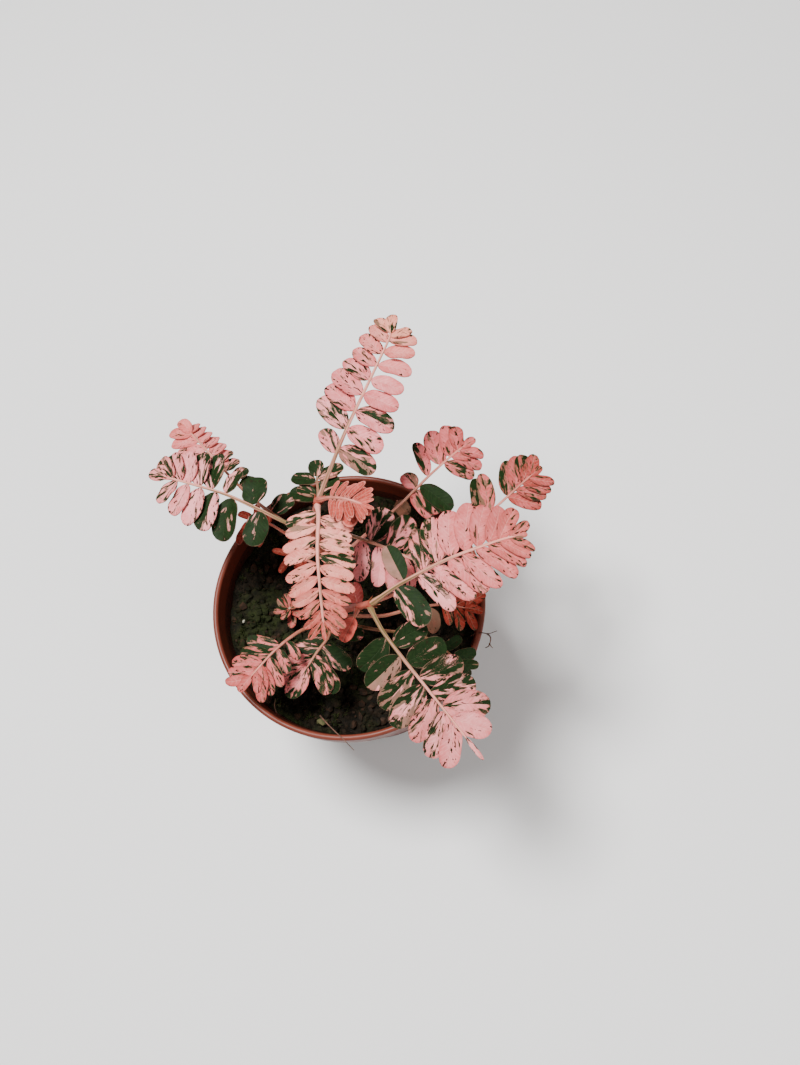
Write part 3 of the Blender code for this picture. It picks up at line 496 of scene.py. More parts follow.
def colour(name, description, *tone):
    """A colour that the sidebar shows, in linear light."""
    return FloatVectorProperty(name=name, description=description, default=tone, subtype="COLOR", size=3,
                               min=0.0, max=1.0)


def measure(name, description, default, low=0.0, **more):
    """A measure that the sidebar shows."""
    return FloatProperty(name=name, description=description, default=default, min=low, **more)


def whole_number(name, description, default, low, high):
    """A whole number that the sidebar shows."""
    return IntProperty(name=name, description=description, default=default, min=low, max=high)


class PotSettings(PropertyGroup):
    sides: whole_number("Sides", "Steps round the turned pot", 120, 24, 240)
    plastic: colour("Plastic", "Red-brown plastic of the pot", 0.112, 0.022, 0.012)
    worn: colour("Worn plastic", "Rubbed plastic along the lip", 0.150, 0.035, 0.020)
    grime: colour("Grime", "Dried soil on the plastic", 0.022, 0.011, 0.007)


class SoilSettings(PropertyGroup):
    cells: whole_number("Cells", "Cells across the soil's top", 96, 16, 120)
    crumbs: whole_number("Crumbs", "Loose crumbs of soil and bark", 1500, 0, 3000)
    tufts: whole_number("Moss tufts", "Places tried for small tufts of moss", 620, 0, 1200)
    earth: colour("Earth", "Damp dark soil", 0.0050, 0.0042, 0.0026)
    bark: colour("Bark", "Bits of bark in the soil", 0.030, 0.014, 0.007)
    moss: colour("Moss", "Moss on the soil", 0.017, 0.024, 0.007)


class LeafSettings(PropertyGroup):
    thickness: measure("Thickness", "Thickness of a leaflet's blade", 0.00028, 0.0001, max=0.0006,
                       unit="LENGTH", precision=5)
    cells_along: whole_number("Cells along", "Cells along a blade", 12, 4, 24)
    cells_across: whole_number("Cells across", "Cells across a blade", 6, 2, 12)
    pale: colour("Pale pink", "Palest leaf colour", 0.76, 0.285, 0.290)
    salmon: colour("Salmon", "Middle leaf colour", 0.54, 0.118, 0.120)
    coral: colour("Coral", "Rosiest leaf colour", 0.30, 0.044, 0.036)
    green: colour("Dark green", "Green streaks and leaves", 0.0055, 0.0150, 0.0030)
    grey: colour("Grey tan", "Faded green under the pale skin", 0.120, 0.084, 0.047)
    rachis_pale: colour("Pale rachis", "Rachis towards its tip", 0.82, 0.32, 0.26)
    rachis_tan: colour("Tan rachis", "Rachis towards its foot", 0.165, 0.112, 0.042)
    rachis_red: colour("Red rachis", "Red flush on stalks", 0.33, 0.048, 0.032)


class StageSettings(PropertyGroup):
    floor: colour("Floor", "Plain pale floor", 0.80, 0.79, 0.78)
    key: measure("Key light", "Power of the large light", 17.6, unit="POWER")
    fill: measure("Fill light", "Power of the second light", 2.5, unit="POWER")
    sky: measure("Sky", "Strength of the light from all round", 0.26)


class Value:
    """A socket's value. Plain arithmetic on it adds math nodes."""

    def __init__(self, wiring, socket):
        self.wiring = wiring
        self.socket = socket

    def __add__(self, other):
        return self.wiring.math("ADD", self, other)

    def __sub__(self, other):
        return self.wiring.math("SUBTRACT", self, other)

    def __rsub__(self, other):
        return self.wiring.math("SUBTRACT", other, self)

    def __mul__(self, other):
        return self.wiring.math("MULTIPLY", self, other)

    def __truediv__(self, other):
        return self.wiring.math("DIVIDE", self, other)

    def __abs__(self):
        return self.wiring.math("ABSOLUTE", self)

    def between(self, low, high, to_low=0.0, to_high=1.0, smooth=False):
        """The value carried from one range to another, held at its ends."""
        return self.wiring.value("MapRange", {0: self, 1: low, 2: high, 3: to_low, 4: to_high}, clamp=True,
                                 interpolation_type="SMOOTHSTEP" if smooth else "LINEAR")


class Wiring:
    """Adds nodes to a node tree and joins them."""

    def __init__(self, tree):
        self.tree = tree

    def feed(self, node, values):
        """Link or set a node's inputs."""
        for key, value in values.items():
            socket = node.inputs[key]
            if isinstance(value, Value):
                self.tree.links.new(value.socket, socket)
            elif socket.type == "RGBA":
                socket.default_value = (*value, 1.0)
            else:
                socket.default_value = value

    def node(self, kind, inputs, **settings):
        made = self.tree.nodes.new("ShaderNode" + kind)
        for key, value in settings.items():
            setattr(made, key, value)
        self.feed(made, inputs)
        return made

    def value(self, kind, inputs, output=0, **settings):
        """One output of a new node."""
        return Value(self, self.node(kind, inputs, **settings).outputs[output])

    def values(self, node):
        """All the outputs of a node, by name."""
        return {output.name: Value(self, output) for output in node.outputs}

    def parts(self, kind, whole):
        """The three parts of a vector or a colour."""
        return list(self.values(self.node("Separate" + kind, {0: whole})).values())

    def math(self, operation, first, second=0.0):
        return self.value("Math", {0: first, 1: second}, operation=operation)

    def blend(self, share, first, second, mode="MIX"):
        """One colour laid over another by a share."""
        return self.value("Mix", {0: share, 6: first, 7: second}, 2, data_type="RGBA", blend_type=mode,
                          clamp_factor=True)

    def layers(self, tone, *laid):
        """A colour with others laid over it in turn, each by a share."""
        for share, over, *mode in laid:
            tone = self.blend(share, tone, over, *mode)
        return tone

    def vector(self, x, y, z=0.0):
        return self.value("CombineXYZ", {0: x, 1: y, 2: z})

    def noise(self, vector, scale, detail=2.0, roughness=0.5, distortion=0.0):
        return self.value("TexNoise", {"Vector": vector, "Scale": scale, "Detail": detail,
                                       "Roughness": roughness, "Distortion": distortion})

    def attribute(self, name, output):
        return self.value("Attribute", {}, output, attribute_name=name)

    def place(self):
        """Coordinates of the object."""
        return self.value("TexCoord", {}, "Object")


class Surface(Wiring):
    """The wiring of a new material with a Principled shader."""

    def __init__(self, name, **constants):
        self.material = bpy.data.materials.new(name)
        self.material.use_nodes = True
        super().__init__(self.material.node_tree)
        self.shader = self.tree.nodes["Principled BSDF"]
        for key, value in constants.items():
            self.shader.inputs[key.replace("_", " ")].default_value = value

    def finish(self, tone, roughness, height, strength, distance=0.0002):
        """Feed the shader its colour, its roughness and the relief that a height gives."""
        relief = self.value("Bump", {"Height": height, "Strength": strength, "Distance": distance})
        self.feed(self.shader, {"Base Color": tone, "Roughness": roughness, "Normal": relief})
        return self.material


def leaf_pattern_group():
    """Pink leaf with green streaks that fan out from its root, grey bands, fine flecks and pale veins."""
    tree = bpy.data.node_groups.new("leaf pattern", "ShaderNodeTree")
    sockets = (("INPUT", "Vector", ("Plan", "Split")), ("INPUT", "Float", ("Margin",)),
               ("INPUT", "Color", ("Look", "Pale", "Salmon", "Coral", "Green", "Grey")),
               ("OUTPUT", "Color", ("Colour",)), ("OUTPUT", "Float", ("Height", "Roughness")))
    for direction, kind, names in sockets:
        for name in names:
            tree.interface.new_socket(name, in_out=direction, socket_type="NodeSocket" + kind)
    wires = Wiring(tree)
    given = wires.values(tree.nodes.new("NodeGroupInput"))
    along, across, seed = wires.parts("XYZ", given["Plan"])
    green_share, rose, grey_share = wires.parts("Color", given["Look"])
    green_split, grey_split, warmth = wires.parts("XYZ", given["Split"])
    margin = given["Margin"]
    pale, green = given["Pale"], given["Green"]
    aside = abs(across)
    half = wires.math("SIGN", across)
    green_share += green_split * half
    grey_share += grey_split * half
    shift = seed * 17.3 + half * 5.7
    fan = aside / (along * 0.10 + 0.45) - along * 0.10
    vein_place = along - aside * 0.75

    def fanned(scale, offset, detail, roughness, distortion=0.0):
        """Noise drawn out along lines that fan out from the leaf's root."""
        place = wires.vector(along * scale[0], fan * scale[1], shift + offset)
        return wires.noise(place, 1.0, detail, roughness, distortion)

    # Green streaks, crisp at their edges, with some luck for each half of a leaf
    half_luck = wires.value("TexWhiteNoise", {"Vector": wires.vector(half, seed, 3.0)}, "Value")
    limit = green_share.between(0.0, 1.0, 0.74, 0.26) - (half_luck - 0.5) * 0.12
    over = fanned(STREAK_SCALE, 0.0, 3.0, 0.50, 0.25) - limit
    green_mask = over.between(0.0, 0.012, smooth=True)

    # Small dark flecks, more of them where the leaf is green and along its edge
    fleck_limit = green_share.between(0.0, 0.18, 0.76, 0.645) - margin.between(0.5, 1.0, 0.0, 0.06)
    fleck_mask = (fanned(FLECK_SCALE, 31.0, 2.0, 0.6) - fleck_limit).between(0.0, 0.008, smooth=True)

    # Grey-tan bands, beside the green and in patches of their own
    grey_noise = fanned(GREY_SCALE, 71.0, 3.0, 0.5)
    grey_patch = (grey_noise - grey_share.between(0.0, 1.0, 0.74, 0.28)).between(0.0, 0.02, smooth=True)
    band = over + grey_noise * green_share.between(0.1, 0.7, 0.03, 0.15)
    grey_mask = wires.math("MAXIMUM", grey_patch, band.between(0.0, 0.010, smooth=True) * 0.88)

    # Pink ground, mottled, with faint paler veins and a rosier edge
    mottle = wires.noise(wires.vector(along * 0.30, across * 0.30, shift), 1.0, 3.0, 0.55)
    grain = wires.noise(wires.vector(vein_place * 2.2, aside * 0.8, shift), 1.0, 3.0)
    blush = rose + (mottle - 0.5) * 0.80 + (grain - 0.5) * 0.50 + margin.between(0.55, 1.0, -0.04, 0.06)
    vein_wave = abs(wires.math("FRACT", vein_place * 0.80) - 0.5)
    vein_line = vein_wave.between(0.0, 0.16, 1.0, 0.0) * margin.between(0.7, 1.0, 1.0, 0.0)
    midrib = aside.between(0.05, 0.16, 1.0, 0.0, smooth=True)
    light = vein_line * 0.10 + midrib * 0.16
    ground = wires.layers(pale, (blush.between(0.0, 0.5), given["Salmon"]),
                          (blush.between(0.5, 1.0), given["Coral"]),
                          (light, wires.blend(0.5, pale, VEIN_CREAM)), (warmth, WARM_TINT, "MULTIPLY"))
    grey_tone = wires.blend(mottle.between(0.35, 0.65, 0.0, 0.20), given["Grey"], ground)

    # Green over it, varied in depth, with a darker edge on the pink and a pale line round the green. The
    # darker edge is partly the leaflet's own darker margin and partly painted shade, where an edge curls
    # down or tucks under its neighbour
    fresh = wires.layers(green, (grain.between(0.40, 0.75, 0.0, 0.55), GREEN_LIGHT),
                         (light * 0.35, GREEN_VEIN))
    tint_and_shade_edge = (margin + grain * 0.10).between(0.94, 1.06, 0.0, 0.36, smooth=True) * (1.0 - green_mask)
    edge = (margin + grey_noise * 0.20).between(1.08, 1.12, 0.0, 0.22) * green_mask
    painted = wires.layers(ground, (grey_mask * 0.90, grey_tone), (green_mask, fresh),
                           (fleck_mask, wires.blend(0.35, green, FLECK_BROWN)),
                           (tint_and_shade_edge, EDGE_TINT_AND_SHADE, "MULTIPLY"), (edge, EDGE_CREAM))
    wires.feed(tree.nodes.new("NodeGroupOutput"),
               {"Colour": painted, "Height": vein_line * -0.35 + midrib * -1.0 + mottle * 0.8,
                "Roughness": mottle.between(0.3, 0.7, 0.50, 0.66)})


def leaf_material(name, settings, tones, bump, fade=0.0, cream_edge=0.0):
    """Leaf surface whose markings follow each leaf's own plan, faded below and edged in cream on some."""
    wires = Surface(name, Subsurface_Weight=0.05, Subsurface_Radius=(0.0012, 0.0006, 0.0005),
                    Subsurface_Scale=0.6, Specular_IOR_Level=0.07)
    pale, salmon, coral = tones
    margin = wires.attribute("leaf_look", "Alpha")
    marks = {"Plan": wires.attribute("leaf_plan", "Vector"), "Look": wires.attribute("leaf_look", "Color"),
             "Margin": margin, "Split": wires.attribute("leaf_split", "Vector"), "Pale": pale,
             "Salmon": salmon, "Coral": coral, "Green": settings.green, "Grey": settings.grey}
    group = bpy.data.node_groups["leaf pattern"]
    pattern = wires.values(wires.node("Group", marks, node_tree=group))
    shown = pattern["Colour"]
    if fade:
        shown = wires.blend(fade, shown, UNDERSIDE)
    if cream_edge:
        edge = margin.between(0.84, 0.93, 0.0, cream_edge, smooth=True)
        shown = wires.blend(edge, shown, settings.rachis_pale)
    return wires.finish(shown, pattern["Roughness"], pattern["Height"], bump, 0.00012)


def stalk_material(settings):
    """Rachis, petioles and stems: tan at the foot, pale towards the tip, flushed red, with fine ridges."""
    wires = Surface("stalk", Specular_IOR_Level=0.3)
    along, around, seed = wires.parts("XYZ", wires.attribute("leaf_plan", "Vector"))
    pale_share, red_share, _ = wires.parts("Color", wires.attribute("leaf_look", "Color"))
    stripes = wires.noise(wires.vector(along * 0.05, around * 0.75, seed), 1.0, 2.5, 0.6)
    mottle = wires.noise(wires.vector(along * 0.35, around * 0.4, seed + 9.0), 1.0, 2.0)
    pale = pale_share + (stripes - 0.5) * 2.6
    red = red_share + (mottle - 0.5)
    dark = stripes.between(0.44, 0.34, 0.0, 0.75) * (1.1 - pale_share)
    ground = wires.layers(settings.rachis_tan, (pale.between(0.2, 1.0), settings.rachis_pale),
                          (red.between(0.15, 1.0, 0.0, 0.92), settings.rachis_red), (dark, STALK_DARK))
    return wires.finish(ground, mottle.between(0.3, 0.7, 0.38, 0.58), stripes, 0.5)


def plastic_material(settings):
    """Moulded plastic, rubbed pale along the lip, with painted shade on the inner wall that deepens towards
    the soil, dried soil inside and fine scratches.
    """
    wires = Surface("red-brown plastic", Specular_IOR_Level=0.22)
    place = wires.place()
    x, y, z = wires.parts("XYZ", place)
    height = z * (1.0 / MM)
    from_axis = wires.value("VectorMath", {0: wires.vector(x, y)}, "Value", operation="LENGTH") * (1.0 / MM)
    cloud = wires.noise(place, 60.0, 4.0, 0.6)
    fine = wires.noise(place, 900.0, 3.0, 0.6)
    drawn_out = wires.value("VectorMath", {0: place, 1: (260.0, 260.0, 2200.0)}, operation="MULTIPLY")
    scratches = wires.noise(drawn_out, 1.0, 2.0, 0.6)
    worn = height.between(POT_HEIGHT - 1.3, POT_HEIGHT - 0.1) * cloud.between(0.30, 0.62, 0.45, 1.0)
    wall_top = POT_HEIGHT - COLLAR_HEIGHT
    wall_radius = height.between(0.0, wall_top, POT_BASE_RADIUS, pot_outer_radius(wall_top))
    within = wires.math("LESS_THAN", from_axis, wall_radius - POT_WALL * 0.5)
    # Painted shade on the inner wall: darkest at the soil, fading towards the lip
    inner_shade = within * height.between(SOIL_TOP, POT_HEIGHT - 1.5, 1.0, 0.55)
    caked = within * height.between(SOIL_TOP - 2.0, POT_HEIGHT - 2.5, 1.0, 0.15)
    grime = (caked + height.between(6.0, 0.0, 0.0, 0.35)) * fine.between(0.50, 0.62, 0.0, 0.9)
    ground = wires.layers(settings.plastic, (cloud.between(0.35, 0.7, 0.0, 0.35), PLASTIC_DEEP),
                          (worn * 0.9, settings.worn),
                          (scratches.between(0.62, 0.75, 0.0, 0.20), settings.worn),
                          (inner_shade * 0.80, PLASTIC_INNER_SHADE), (grime, settings.grime))
    roughness = cloud.between(0.3, 0.7, 0.34, 0.50) + grime * 0.4
    return wires.finish(ground, roughness, fine * 0.6 + scratches, 0.25)


def earth_material(settings):
    """Damp soil: near black with brown bits, greened by moss in broad patches."""
    wires = Surface("damp soil", Specular_IOR_Level=0.06)
    place = wires.place()
    clumps = wires.noise(place, 420.0, 4.0, 0.7)
    grit = wires.noise(place, 1500.0, 2.0, 0.6)
    patches = wires.noise(place, 55.0, 3.0, 0.6)
    mossy = patches.between(0.46, 0.60) * clumps.between(0.38, 0.60, 0.2, 1.0)
    ground = wires.layers(settings.earth, (clumps.between(0.45, 0.68), EARTH_LIGHT),
                          (grit.between(0.62, 0.72, 0.0, 0.8), settings.bark), (mossy * 0.8, settings.moss))
    return wires.finish(ground, clumps.between(0.35, 0.65, 0.62, 0.95), clumps + grit * 0.4, 0.9, 0.0008)


def bit_material(name, first, second, scale, roughness=0.8):
    """Small loose bits whose colour shifts from one to the next."""
    wires = Surface(name, Specular_IOR_Level=0.15)
    place = wires.place()
    broad = wires.noise(place, scale, 2.0, 0.6)
    fine = wires.noise(place, scale * 5.0, 3.0, 0.6)
    ground = wires.layers(first, (broad.between(0.40, 0.62), second),
                          (fine.between(0.35, 0.75, 0.0, 0.35), [part * 0.4 for part in first]))
    return wires.finish(ground, fine.between(0.3, 0.7, roughness - 0.1, roughness + 0.08), fine, 0.4)


def leaf_finishes(settings, upper="variegated leaf", under="leaf underside"):
    """Materials of a plant piece: upper faces, undersides and stalks, all made on the first call."""
    if "leaf pattern" not in bpy.data.node_groups:
        leaf_pattern_group()
        grown = (settings.pale, settings.salmon, settings.coral)
        young = (settings.salmon, YOUNG_CORAL, YOUNG_RED)
        leaf_material("variegated leaf", settings, grown, 0.55)
        leaf_material("leaf underside", settings, grown, 0.4, fade=0.30)
        leaf_material("young coral leaf", settings, young, 0.7)
        leaf_material("edged young leaf", settings, young, 0.7, cream_edge=0.36)
        leaf_material("young underside", settings, young, 0.4, fade=0.15)
        stalk_material(settings)
    return [bpy.data.materials[name] for name in (upper, under, "stalk")]


def new_object(name, shape):
    """An object in the scene that takes over a bmesh."""
    mesh = bpy.data.meshes.new(name)
    shape.to_mesh(mesh)
    shape.free()
    made = bpy.data.objects.new(name, mesh)
    bpy.context.scene.collection.objects.link(made)
    return made


def finish_piece(name, shape, materials, node, smooth_angle=50.0):
    """Turn a bmesh drawn in millimetres into a piece that may stand for a node."""
    bmesh.ops.recalc_face_normals(shape, faces=shape.faces)
    bmesh.ops.scale(shape, vec=(MM, MM, MM), verts=shape.verts)
    piece = new_object(name, shape)
    for material in materials:
        piece.data.materials.append(material)
    piece.data.shade_smooth()
    piece.data.set_sharp_from_angle(angle=math.radians(smooth_angle))
    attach(piece, "root")
    if node:
        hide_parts(node)
    return piece


def mix(first, last, share):
    return first + (last - first) * share


def blend_three(values, share):
    """A smooth value through a start, a middle and an end."""
    start, middle, end = values
    return (start * (1 - share) * (1 - 2 * share) + 4 * middle * share * (1 - share)
            + end * share * (2 * share - 1))


def swelling(distance, reach):
    """A bump that is 1 in its middle and fades over a reach."""
    return math.exp(-(distance / reach) ** 2)


def square_to_disc(x, y):
    """Place in a disc of a place in the square round it, both centred with a half width of 1."""
    return x * math.sqrt(1.0 - y * y / 2.0), y * math.sqrt(1.0 - x * x / 2.0)


def axes_at(place, x, y, z):
    """Frame at a place with its axes along three directions."""
    return Matrix.Translation(place) @ Matrix((x, y, z)).transposed().to_4x4()


def blade_frame(root, out):
    """Frame of a leaf at a place that points one way, with its upper face as level as that allows."""
    across = UP.cross(out).normalized()
    return axes_at(root, out, across, out.cross(across))


def only(kind, made):
    """The parts of one kind among those that an operator made."""
    return [part for part in made["geom"] if isinstance(part, kind)]


def faces_round(corners):
    return list({face for corner in corners for face in corner.link_faces})


def paint(faces, finish):
    for face in faces:
        face.material_index = finish


def on_circle(reach, turn):
    return reach * math.cos(turn), reach * math.sin(turn)


def chance_turn(chance, low, high):
    """A turn to any side, after a lean within a range."""
    return (Matrix.Rotation(chance.uniform(0, math.tau), 4, "Z")
            @ Matrix.Rotation(chance.uniform(low, high), 4, "X"))


def smooth_route(points, step):
    """Points about one step apart along a smooth curve through the given ones."""
    corners = [Vector(point) for point in points]
    before = corners[0] * 2 - corners[1]
    after = corners[-1] * 2 - corners[-2]
    ring = [before] + corners + [after]
    route = [corners[0]]
    for index in range(1, len(ring) - 2):
        a, b, c, d = ring[index - 1:index + 3]
        pieces = max(1, round((c - b).length / step))
        for piece in range(1, pieces + 1):
            t = piece / pieces
            route.append(0.5 * (2 * b + (c - a) * t + (2 * a - 5 * b + 4 * c - d) * t * t
                                + (3 * b - a - 3 * c + d) * t ** 3))
    return route


def distances_along(route):
    """How far each place of a route is from its start, along it."""
    return list(accumulate(((end - start).length for start, end in zip(route, route[1:])), initial=0.0))


def point_along(route, distance):
    """Place and direction at a distance along a route."""
    left = distance
    for start, end in zip(route, route[1:]):
        length = (end - start).length
        if left <= length:
            break
        left -= length
    direction = (end - start).normalized()
    return start + direction * left, direction


def stem_at_height(name, height):
    """Centre, direction and radius of an upright stem at a height."""
    stem = STEMS[name]
    route = smooth_route(stem.route, ROUTE_STEP)
    for start, end in zip(route, route[1:]):
        if start.z <= height <= end.z:
            break
    share = (height - start.z) / (end.z - start.z)
    rise = (height - route[0].z) / (route[-1].z - route[0].z)
    return start.lerp(end, share), (end - start).normalized(), mix(*stem.radii, rise)


def leaf_place(route, distance, angle, side, lift, louvre):
    """Frame of a leaf that leaves the rachis at an angle to its forward direction."""
    root, forward = point_along(route, distance)
    up = (UP - forward * forward.z).normalized()
    sideways = up.cross(forward) * side
    turn = math.radians(angle)
    rise = math.radians(lift)
    along = forward * math.cos(turn) + sideways * math.sin(turn)
    along = (along * math.cos(rise) + up * math.sin(rise)).normalized()
    across = up.cross(along).normalized()
    tilt = Matrix.Rotation(math.radians(louvre * side), 4, "X")
    return axes_at(root, along, across, along.cross(across)) @ tilt


def row_leaves(row, side, route, louvre, chance):
    """Places, lengths, widths, sides and shares along the rachis of one row's leaves."""
    leaves = []
    for index in range(row.count):
        share = index / (row.count - 1)
        distance = mix(row.first, row.last, share * (1 + CROWDING * (1 - share)))
        length = blend_three(row.lengths, share) * (1 + chance.uniform(-LENGTH_JITTER, LENGTH_JITTER))
        angle = blend_three(row.angles, share) + chance.uniform(-ANGLE_JITTER, ANGLE_JITTER)
        lift = row.lift + chance.uniform(-LIFT_JITTER, LIFT_JITTER)
        turn = louvre + chance.uniform(-LOUVRE_JITTER, LOUVRE_JITTER)
        place = leaf_place(route, distance, angle, side, lift, turn)
        leaves.append((place, length, length * mix(*row.widths, share), side, share))
    return leaves


def frond_leaves(name, route):
    """All the leaves of a frond: left row, right row, lone leaves and the end leaf."""
    frond = FRONDS[name]
    chance = random.Random(LEAF_JITTER_SEED + list(FRONDS).index(name))
    leaves = []
    for side, row in ((1, frond.left), (-1, frond.right)):
        if row:
            leaves += row_leaves(row, side, route, frond.louvre, chance)
    for side, distance, length, angle, width in frond.lone:
        place = leaf_place(route, distance, angle, side, frond.lone_lift, frond.louvre)
        leaves.append((place, length, length * width, side, 0.0))
    length, width = frond.end_leaf
    place = leaf_place(route, distances_along(route)[-1] - END_LEAF_ROOT, 0.0, 1, 0.0, 0.0)
    leaves.append((place, length, length * width, 1, 1.0))
    return leaves


def frond_route(name):
    """The rachis's route as the solid has it, and the middle of the stem that it grows from."""
    frond = FRONDS[name]
    centre, upward, radius = stem_at_height(frond.stem, frond.height)
    forward = (Vector(frond.route[0]) - centre).normalized()
    cosine = abs(forward.dot(upward))
    sine = math.sqrt(1 - cosine * cosine)
    if frond.height == STEMS[frond.stem].route[-1][2]:
        clear = (GAP + SOLID_RACHIS_RADIUS * sine) / cosine
    else:
        clear = (radius + GAP + SOLID_RACHIS_RADIUS * cosine) / sine
    return smooth_route((centre + forward * clear, *frond.route), ROUTE_STEP), centre


def new_plant_shape():
    """An empty shape with the three attributes that every plant part carries."""
    shape = bmesh.new()
    shape.verts.layers.float_vector.new("leaf_plan")
    shape.verts.layers.float_vector.new("leaf_split")
    shape.verts.layers.float_color.new("leaf_look")
    return shape


def layers_of(shape):
    """Place on the leaf, difference between its halves, and its colouring."""
    vectors = shape.verts.layers.float_vector
    return vectors["leaf_plan"], vectors["leaf_split"], shape.verts.layers.float_color["leaf_look"]


def ring_frame(centre, direction, radius, guide):
    """Frame of a ring across a direction."""
    side = guide.cross(direction).normalized()
    return axes_at(centre, side, direction.cross(side), direction) @ Matrix.Diagonal((radius,) * 3 + (1.0,))


def sweep(shape, stations, sides, looks, seed, finish=STALK, guide=UP, ridges=(0, 0.0)):
    """A closed tapered tube through places and radii, a look at each end, and ridges by count and depth."""
    plan, _, tint = layers_of(shape)
    places = [place for place, _ in stations]
    travelled = distances_along(places)
    ring = bmesh.ops.create_circle(shape, cap_ends=True, segments=sides, radius=1.0)["verts"]
    count, depth = ridges
    for corner in ring:
        corner.co *= 1.0 + depth * math.cos(count * math.atan2(corner.co.y, corner.co.x))
    cap = ring[0].link_faces[0]
    cap.material_index = finish
    pose = Matrix.Identity(4)
    for index, (place, radius) in enumerate(stations):
        if index:
            grown = bmesh.ops.extrude_face_region(shape, geom=[cap])
            ring = only(BMVert, grown)
            cap = only(BMFace, grown)[0]
        look = [mix(*ends, travelled[index] / travelled[-1]) for ends in zip(*looks)]
        for corner in ring:
            flat = pose.inverted() @ corner.co
            corner[plan] = (travelled[index], abs(math.atan2(flat.y, flat.x)) * STALK_ROUND, seed)
            corner[tint] = look
        direction = (places[min(index + 1, len(places) - 1)] - places[max(index - 1, 0)]).normalized()
        next_pose = ring_frame(place, direction, radius, guide)
        bmesh.ops.transform(shape, matrix=next_pose @ pose.inverted(), verts=ring)
        pose = next_pose


def add_blade(shape, place, length, width, look, seed, chance, settings, young=False, split=PLAIN_SPLIT):
    """A leaflet: a rounded oblong blade with its midrib folded in, its petiole and the rib beneath."""
    plan, halves, tint = layers_of(shape)
    thickness = settings.thickness / MM
    width *= BLADE_FULLNESS
    start = min(PETIOLE, length * PETIOLE_SHARE)
    squareness = chance.uniform(*BLADE_SQUARENESS)
    egg = chance.uniform(*BLADE_EGG)
    fold = chance.uniform(*BLADE_FOLD) + (YOUNG_FOLD if young else 0.0)
    cup = chance.uniform(*BLADE_CUP)
    wave = chance.uniform(*BLADE_WAVE) * width
    phase = chance.uniform(0.0, 1.0)
    sideways = chance.uniform(*BLADE_SWEEP) * length

    def under_side(share, across):
        """Place of the lower face at a share of the length and a distance from the midrib."""
        edge = 2.0 * across / width
        rise = (-BLADE_DROOP * length * share * share + fold * abs(across) - cup * across * across / width
                + wave * math.sin(math.tau * (share * BLADE_WAVES + phase)) * edge * edge)
        bend = sideways * math.sin(math.pi * share)
        return Vector((mix(start, length, share), across + bend, rise - thickness / 2.0))

    corners = bmesh.ops.create_grid(shape, size=1.0, x_segments=settings.cells_along,
                                    y_segments=settings.cells_across)["verts"]
    for corner in corners:
        x, y = square_to_disc(corner.co.x, corner.co.y)
        reach = math.hypot(x, y)
        if reach > 0.0:
            power = (abs(x / reach) ** squareness + abs(y / reach) ** squareness) ** (-1.0 / squareness)
            x, y = x * power, y * power
        share = (x + 1.0) / 2.0
        narrow = 1.0 - ROOT_NARROWING * max(0.0, 1.0 - share / ROOT_SHARE) ** 2
        across = y * (1.0 + egg * x) * narrow * width / 2.0
        corner.co = under_side(share, across)
        corner[plan] = (corner.co.x, across, seed)
        corner[halves] = split
        corner[tint] = (*look, reach)
    faces = faces_round(corners)
    paint(faces, UNDER)
    grown = bmesh.ops.extrude_face_region(shape, geom=faces)
    paint(only(BMFace, grown), UPPER)
    upper = only(BMVert, grown)
    bmesh.ops.translate(shape, verts=upper, vec=(0.0, 0.0, thickness))
    bmesh.ops.transform(shape, matrix=place, verts=corners + upper)
    stations = []
    for share, radius in RIB:
        middle = under_side(max(share, 0.0), 0.0)
        middle.x = max(0.0, mix(start, length, share))
        stations.append((place @ middle, radius * (0.7 + 0.3 * length / RIB_LENGTH)))
    rose = look[1]
    stalk_look = (0.85 - 0.3 * rose, 0.10 + 0.5 * rose, 0.0, 0.0)
    sweep(shape, stations, RIB_SIDES, (stalk_look, stalk_look), seed, guide=place.to_3x3() @ UP)


def add_scale(shape, root, outward, upward, length, look, seed):
    """A small pointed scale that hugs a stem at a node."""
    plan, _, tint = layers_of(shape)
    width = length * 0.5
    across = upward.cross(outward).normalized()
    lean = (upward * SCALE_LEAN[0] + outward * SCALE_LEAN[1]).normalized()
    size = Matrix.Diagonal((width / 2.0, width * 0.16, length / 2.0, 1.0))
    place = axes_at(root + lean * length * 0.42, across, across.cross(lean).normalized(), lean) @ size
    corners = bmesh.ops.create_cone(shape, cap_ends=True, segments=8, radius1=1.0, radius2=0.06, depth=2.0,
                                    matrix=place)["verts"]
    for corner in corners:
        corner[plan] = ((corner.co - root).length, 0.5, seed)
        corner[tint] = look
    paint(faces_round(corners), STALK)


def rachis_stations(route, centre):
    """Finer places along a rachis, from inside its stem to a thin end, with radii swollen at its foot."""
    fine = smooth_route([centre] + route, RACHIS_STEP)
    travelled = distances_along(fine)
    stations = []
    for place, distance in zip(fine, travelled):
        radius = mix(*RACHIS_RADII, distance / travelled[-1])
        radius += RACHIS_SWELLING * swelling(distance - SWELLING_PLACE, SWELLING_REACH)
        radius *= min(1.0, RACHIS_END + (travelled[-1] - distance) / RACHIS_STEP)
        stations.append((place, radius))
    return stations


def leaf_look(name, index, side, share, chance):
    """How green, rosy and grey a leaf is, how its halves differ in green and grey, and its warmth."""
    odd = ODD_LEAVES.get(name, {}).get(index)
    spec = LOOKS[name]
    if odd:
        green, rose, grey = odd[:3]
        split = (*odd[3:], 0.0, 0.0)[:2]
    else:
        green = blend_three(spec.left if side > 0 else spec.right, share)
        rose = blend_three(spec.rose, share)
        grey = blend_three(spec.grey, share)
        split = (0.0, 0.0)
        green += chance.uniform(-GREEN_JITTER, GREEN_JITTER) * min(1.0, green * 4.0)
    rose += chance.uniform(-ROSE_JITTER, ROSE_JITTER)
    look = tuple(min(1.0, max(0.0, part)) for part in (green, rose, grey))
    return look, (*split, blend_three(spec.warm, share))


